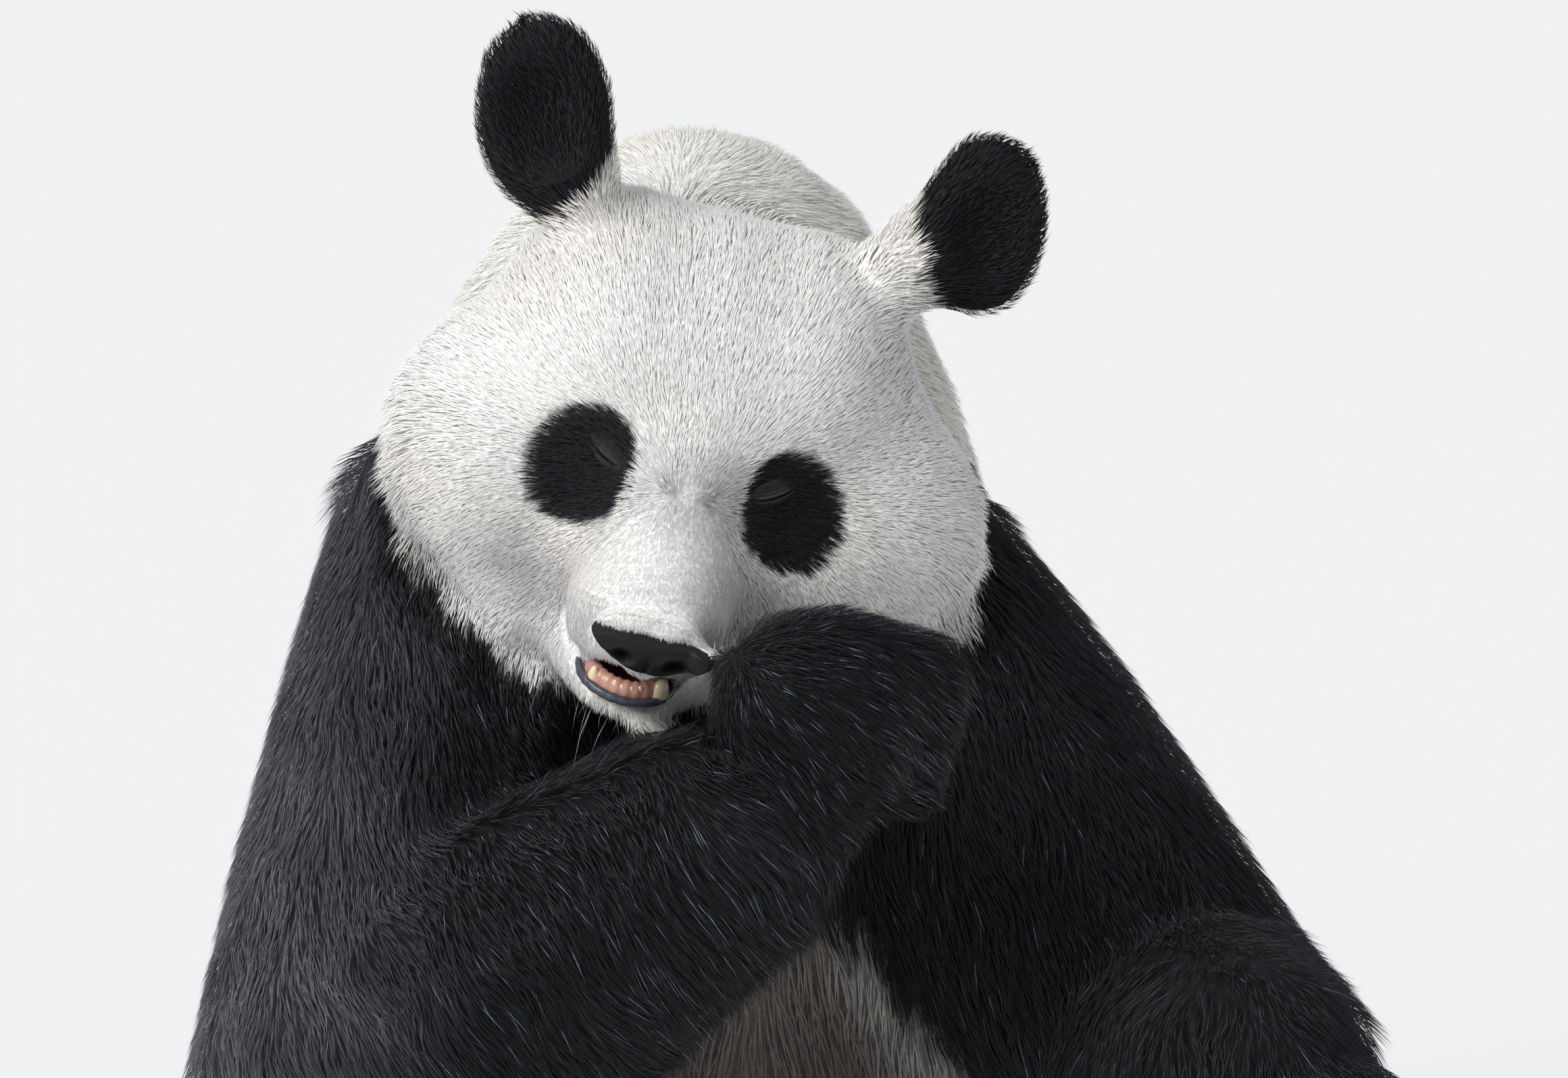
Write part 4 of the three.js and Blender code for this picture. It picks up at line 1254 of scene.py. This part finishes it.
# Six small front teeth at even steps of the arch, each a little uneven, and two long ones beside.
def makeTeeth():
    forms, plan = [], mouthPlan
    radius, half, thin, tall = plan["incisor"]
    for i in range(6):
        angle = (i - 2.5) * plan["incisorStep"]
        base = archPoint(np.array(angle), radius, plan["root"])
        lean = np.array([0.5 * math.sin(i * 2.3), -1, 0])
        high = [0, 0, tall + plan["incisorUneven"] * math.sin(i * 1.9)]
        forms.append(tooth(base, base + lean + high, half, thin, blunt=4))
    radius, halves, heights = plan["canine"]
    for s, half, tall in zip((-1, 1), halves, heights):
        base = archPoint(np.array(s * plan["canineAngle"]), radius, plan["root"])
        forms.append(tooth(base, base + [s * 1.5, -2.5, tall], half, half * 0.85, blunt=2.2))
    points, faces = together(forms)
    settle(makePiece("lowerTeeth", fromHead(points), faces, toothEnamel), "tooth", "lower_teeth")


archBar("lowerGum", *mouthPlan["gum"], gumSkin, "tooth")
archBar("lowerLip", *mouthPlan["lip"], lipSkin, "bare_skin")
makeTeeth()
print("mouth made")

# Claws and soles: how a claw tapers and how flat it is, the shares of its length where its root
# and its bend are felt on the solid, and its steps; a toe pad's half axes and its place behind and
# under the claw in millimetres; and the mesh of a pad.
pawPlan = {
    "taper": 0.72, "flat": 0.62, "root": 0.85, "bend": (0.25, 0.75), "steps": 14,
    "toePad": (10, 12, 6.5), "toeBack": 15, "toeUnder": 9, "rings": 14, "columns": 28,
}
pawNames = ["hand_left", "hand_right", "hind_foot_left", "hind_foot_right"]


# A claw: an oval carried along a curve from the middle of its solid's root through the middle ring
# to the tip, shrinking as a power of what is left.
def claw(name):
    spots, _ = meshArrays(nodes[name].data)
    centre = spots.mean(0)
    tip = spots[np.linalg.norm(spots - centre, axis=1).argmax()]
    away = np.linalg.norm(spots - tip, axis=1) / np.linalg.norm(spots - tip, axis=1).max()
    root = spots[away > pawPlan["root"]]
    base, (near, far) = root.mean(0), pawPlan["bend"]
    bend = spots[(away > near) & (away < far)].mean(0)
    radius = np.linalg.norm(root - base, axis=1).max()
    t = np.linspace(0, 1, pawPlan["steps"])[:, None]
    through = 2 * bend - (base + tip) / 2
    path = (1 - t) ** 2 * base + 2 * t * (1 - t) * through + t ** 2 * tip
    side = unit(np.cross(tip - base, bend - base))
    size = radius * (1 - t) ** pawPlan["taper"]
    return sweep(path, side * size * pawPlan["flat"], unit(np.cross(tip - base, side)) * size, 12)


# An ovoid of these half axes on a frame of three directions: rings of cosines and sines, its
# section squarer than a circle.
def ovoid(at, half, basis):
    tall = np.linspace(0, math.pi, pawPlan["rings"] + 2)[1:-1, None]
    turn = np.linspace(0, 2 * math.pi, pawPlan["columns"], endpoint=False)[None]
    spread = np.sin(tall) ** 0.8
    shape = np.stack([spread * np.cos(turn), spread * np.sin(turn), np.cos(tall) + 0 * turn], -1)
    points = np.concatenate([shape.reshape(-1, 3), [[0, 0, 1], [0, 0, -1]]]) * half
    faces = outward(points, closedFaces(len(tall), turn.shape[1]))
    return points @ basis.T + at, faces


for paw in pawNames:
    claws = [f"claw_{paw}_{i}" for i in range(1, 6)]
    points, faces = together([claw(name) for name in claws])
    title = "".join(word.capitalize() for word in reversed(paw.split("_")))
    title = title[0].lower() + title[1:]
    settle(makePiece(f"{title}Claws", points, faces, clawHorn), "claw", *claws)
    basis = pawAxes(paw)
    across, toes, under = basis.T
    pad = middle(f"pad_{paw}")
    spots = (meshArrays(nodes[f"pad_{paw}"].data)[0] - pad) @ basis
    half = (spots.max(0) - spots.min(0)) / 2
    forms = [ovoid(pad - under * 0.001, half * [1, 0.95, 1], basis)]
    for name in claws:
        spots = meshArrays(nodes[name].data)[0]
        root = spots[((spots - middle(paw)) @ toes).argsort()[:6]].mean(0)
        at = root + (-toes * pawPlan["toeBack"] + under * pawPlan["toeUnder"]) * mm
        forms.append(ovoid(at, np.array(pawPlan["toePad"]) * mm, basis))
    points, faces = together(forms)
    points[:, 2] = np.maximum(points[:, 2], 0.0005)
    settle(makePiece(f"{title}Soles", points, faces, soleSkin), "bare_skin", f"pad_{paw}")
print("claws and soles made")

# Whiskers on chin, lip and brow: how many, their length and width in millimetres, how far they
# stand off the skin, stray and droop, and their colour; then where these fields are on the head.
whiskerPlan = {
    "number": (34, 22, 6), "length": (12, 38), "width": 0.3, "stand": 0.9, "stray": 0.38,
    "droop": (0.05, 0.45), "colour": (0.52, 0.55, 0.60),
    "chinBelow": -98, "chinFront": -35,
    "lipFront": -45, "lipHeight": (-78, -52), "lipSide": 25, "lipMiddle": 7, "lipNose": -4,
    "browAt": 48, "browHalf": 12, "browHeight": (34, 48), "browFront": 25,
}


# Whiskers are long thin tufts from some corners of the skin, each with a way and a droop of its
# own.
def makeWhiskers():
    x, y, z = skinHead.T
    plan = whiskerPlan
    chin = (z < plan["chinBelow"]) & (y < plan["chinFront"])
    low, high = plan["lipHeight"]
    lipSide = (y < plan["lipFront"]) & (z > low) & (z < high)
    lipSide &= np.abs(x + plan["lipMiddle"]) > plan["lipSide"]
    lipSide &= noseInset(skinHead) < plan["lipNose"]
    low, high = plan["browHeight"]
    brow = (np.abs(np.abs(x) - plan["browAt"]) < plan["browHalf"]) & (z > low) & (z < high)
    brow &= y < plan["browFront"]
    furred = (headShare > 0.6) & ~bare
    pick = np.concatenate([random.choice(np.flatnonzero(field & furred), number, replace=False)
                           for field, number in zip((chin, lipSide, brow), plan["number"])])
    length = random.uniform(*plan["length"], len(pick))[:, None] * mm
    way = unit(skinCoat["lie"][pick] + plan["stand"] * skinNormals[pick]
               + random.normal(0, plan["stray"], (len(pick), 3)))
    droop = length * random.uniform(*plan["droop"], (len(pick), 1)) * [0, 0, -1]
    root = skinPoints[pick]
    points, faces, levels = buildTufts(root, root + way * length * 0.5, root + way * length + droop,
                                       alongSurface(way, skinNormals[pick]), skinNormals[pick],
                                       np.full(len(pick), plan["width"] * mm))
    piece = makePiece("whiskers", points, faces, whiteFur)
    paint(piece, np.tile(plan["colour"], (len(points), 1)))
    settle(piece, "white_fur")


makeWhiskers()
print("whiskers made")


# The stage: the camera's width of view, distance, elevation and target in metres and degrees;
# floor, background and sky. The lamps: where each comes from, its width in degrees, strength and
# colour.
stagePlan = {
    "viewWidth": 0.859, "distance": 7.0, "elevation": 15.0, "target": (0.0263, -0.0795, 0.7063),
    "sensor": 36, "far": 100, "floorHalf": 30, "floorColour": (0.78, 0.78, 0.78),
    "background": (0.83, 0.835, 0.845), "sky": (0.86, 0.93, 1.0), "skyStrength": 0.37,
}
lampPlan = {
    "keyLamp": {"come": (-2.4, -2.3, 3.0), "wide": 40, "strength": 2.95,
                "colour": (1, 0.985, 0.965)},
    "fillLamp": {"come": (2.8, -2.0, 1.6), "wide": 60, "strength": 0.30, "colour": (0.95, 0.97, 1)},
    "topLamp": {"come": (-0.3, 0.8, 3.0), "wide": 60, "strength": 0.45, "colour": (1, 1, 1)},
}


# The camera looks at the target from the front and above: a step back by the distance's cosine and
# up by its sine, with a lens of the sensor's width times distance over width of view.
def makeCamera():
    far = stagePlan["distance"]
    data = bpy.data.cameras.new("camera")
    data.sensor_width = stagePlan["sensor"]
    data.lens = stagePlan["sensor"] * far / stagePlan["viewWidth"]
    data.clip_end = stagePlan["far"]
    camera = bpy.data.objects.new("camera", data)
    bpy.context.scene.collection.objects.link(camera)
    up = math.radians(stagePlan["elevation"])
    x, y, z = stagePlan["target"]
    camera.location = (x, y - far * math.cos(up), z + far * math.sin(up))
    camera.rotation_euler = (math.pi / 2 - up, 0, 0)
    bpy.context.scene.camera = camera


# One wide square at height 0.
def makeFloor():
    size = stagePlan["floorHalf"]
    corners = [[-1, -1, 0], [1, -1, 0], [1, 1, 0], [-1, 1, 0]]
    points = np.array(corners, float) * size
    paintedFloor = newMaterial("floorPaint", Roughness=0.9, Specular_IOR_Level=0.1,
                               Base_Color=(*stagePlan["floorColour"], 1))[0]
    makePiece("floor", points, np.array([[0, 1, 2, 3]]), paintedFloor)


# A soft sun: the way it comes from, how wide it is in degrees, its strength and colour.
def addLamp(name, come, wide, strength, colour):
    data = bpy.data.lights.new(name, "SUN")
    data.angle = math.radians(wide)
    data.energy = strength
    data.color = colour
    lamp = bpy.data.objects.new(name, data)
    bpy.context.scene.collection.objects.link(lamp)
    lamp.location = come
    lamp.rotation_euler = (-Vector(come)).to_track_quat("-Z", "Y").to_euler()


# A sky that lights the panda, and a plain background that only the camera sees.
def makeWorld():
    world = bpy.data.worlds.new("studio")
    bpy.context.scene.world = world
    world.use_nodes = True
    tree, links = world.node_tree.nodes, world.node_tree.links
    shade = tree["Background"]
    path = tree.new("ShaderNodeLightPath")
    show = tree.new("ShaderNodeBackground")
    show.inputs["Color"].default_value = (*stagePlan["background"], 1)
    show.inputs["Strength"].default_value = 1
    shade.inputs["Color"].default_value = (*stagePlan["sky"], 1)
    shade.inputs["Strength"].default_value = stagePlan["skyStrength"]
    switch = tree.new("ShaderNodeMixShader")
    links.new(path.outputs["Is Camera Ray"], switch.inputs[0])
    links.new(shade.outputs[0], switch.inputs[1])
    links.new(show.outputs[0], switch.inputs[2])
    links.new(switch.outputs[0], tree["World Output"].inputs["Surface"])


makeCamera()
makeFloor()
for name, lamp in lampPlan.items():
    addLamp(name, **lamp)
makeWorld()
bpy.context.scene.view_settings.view_transform = "Standard"
print("stage made")
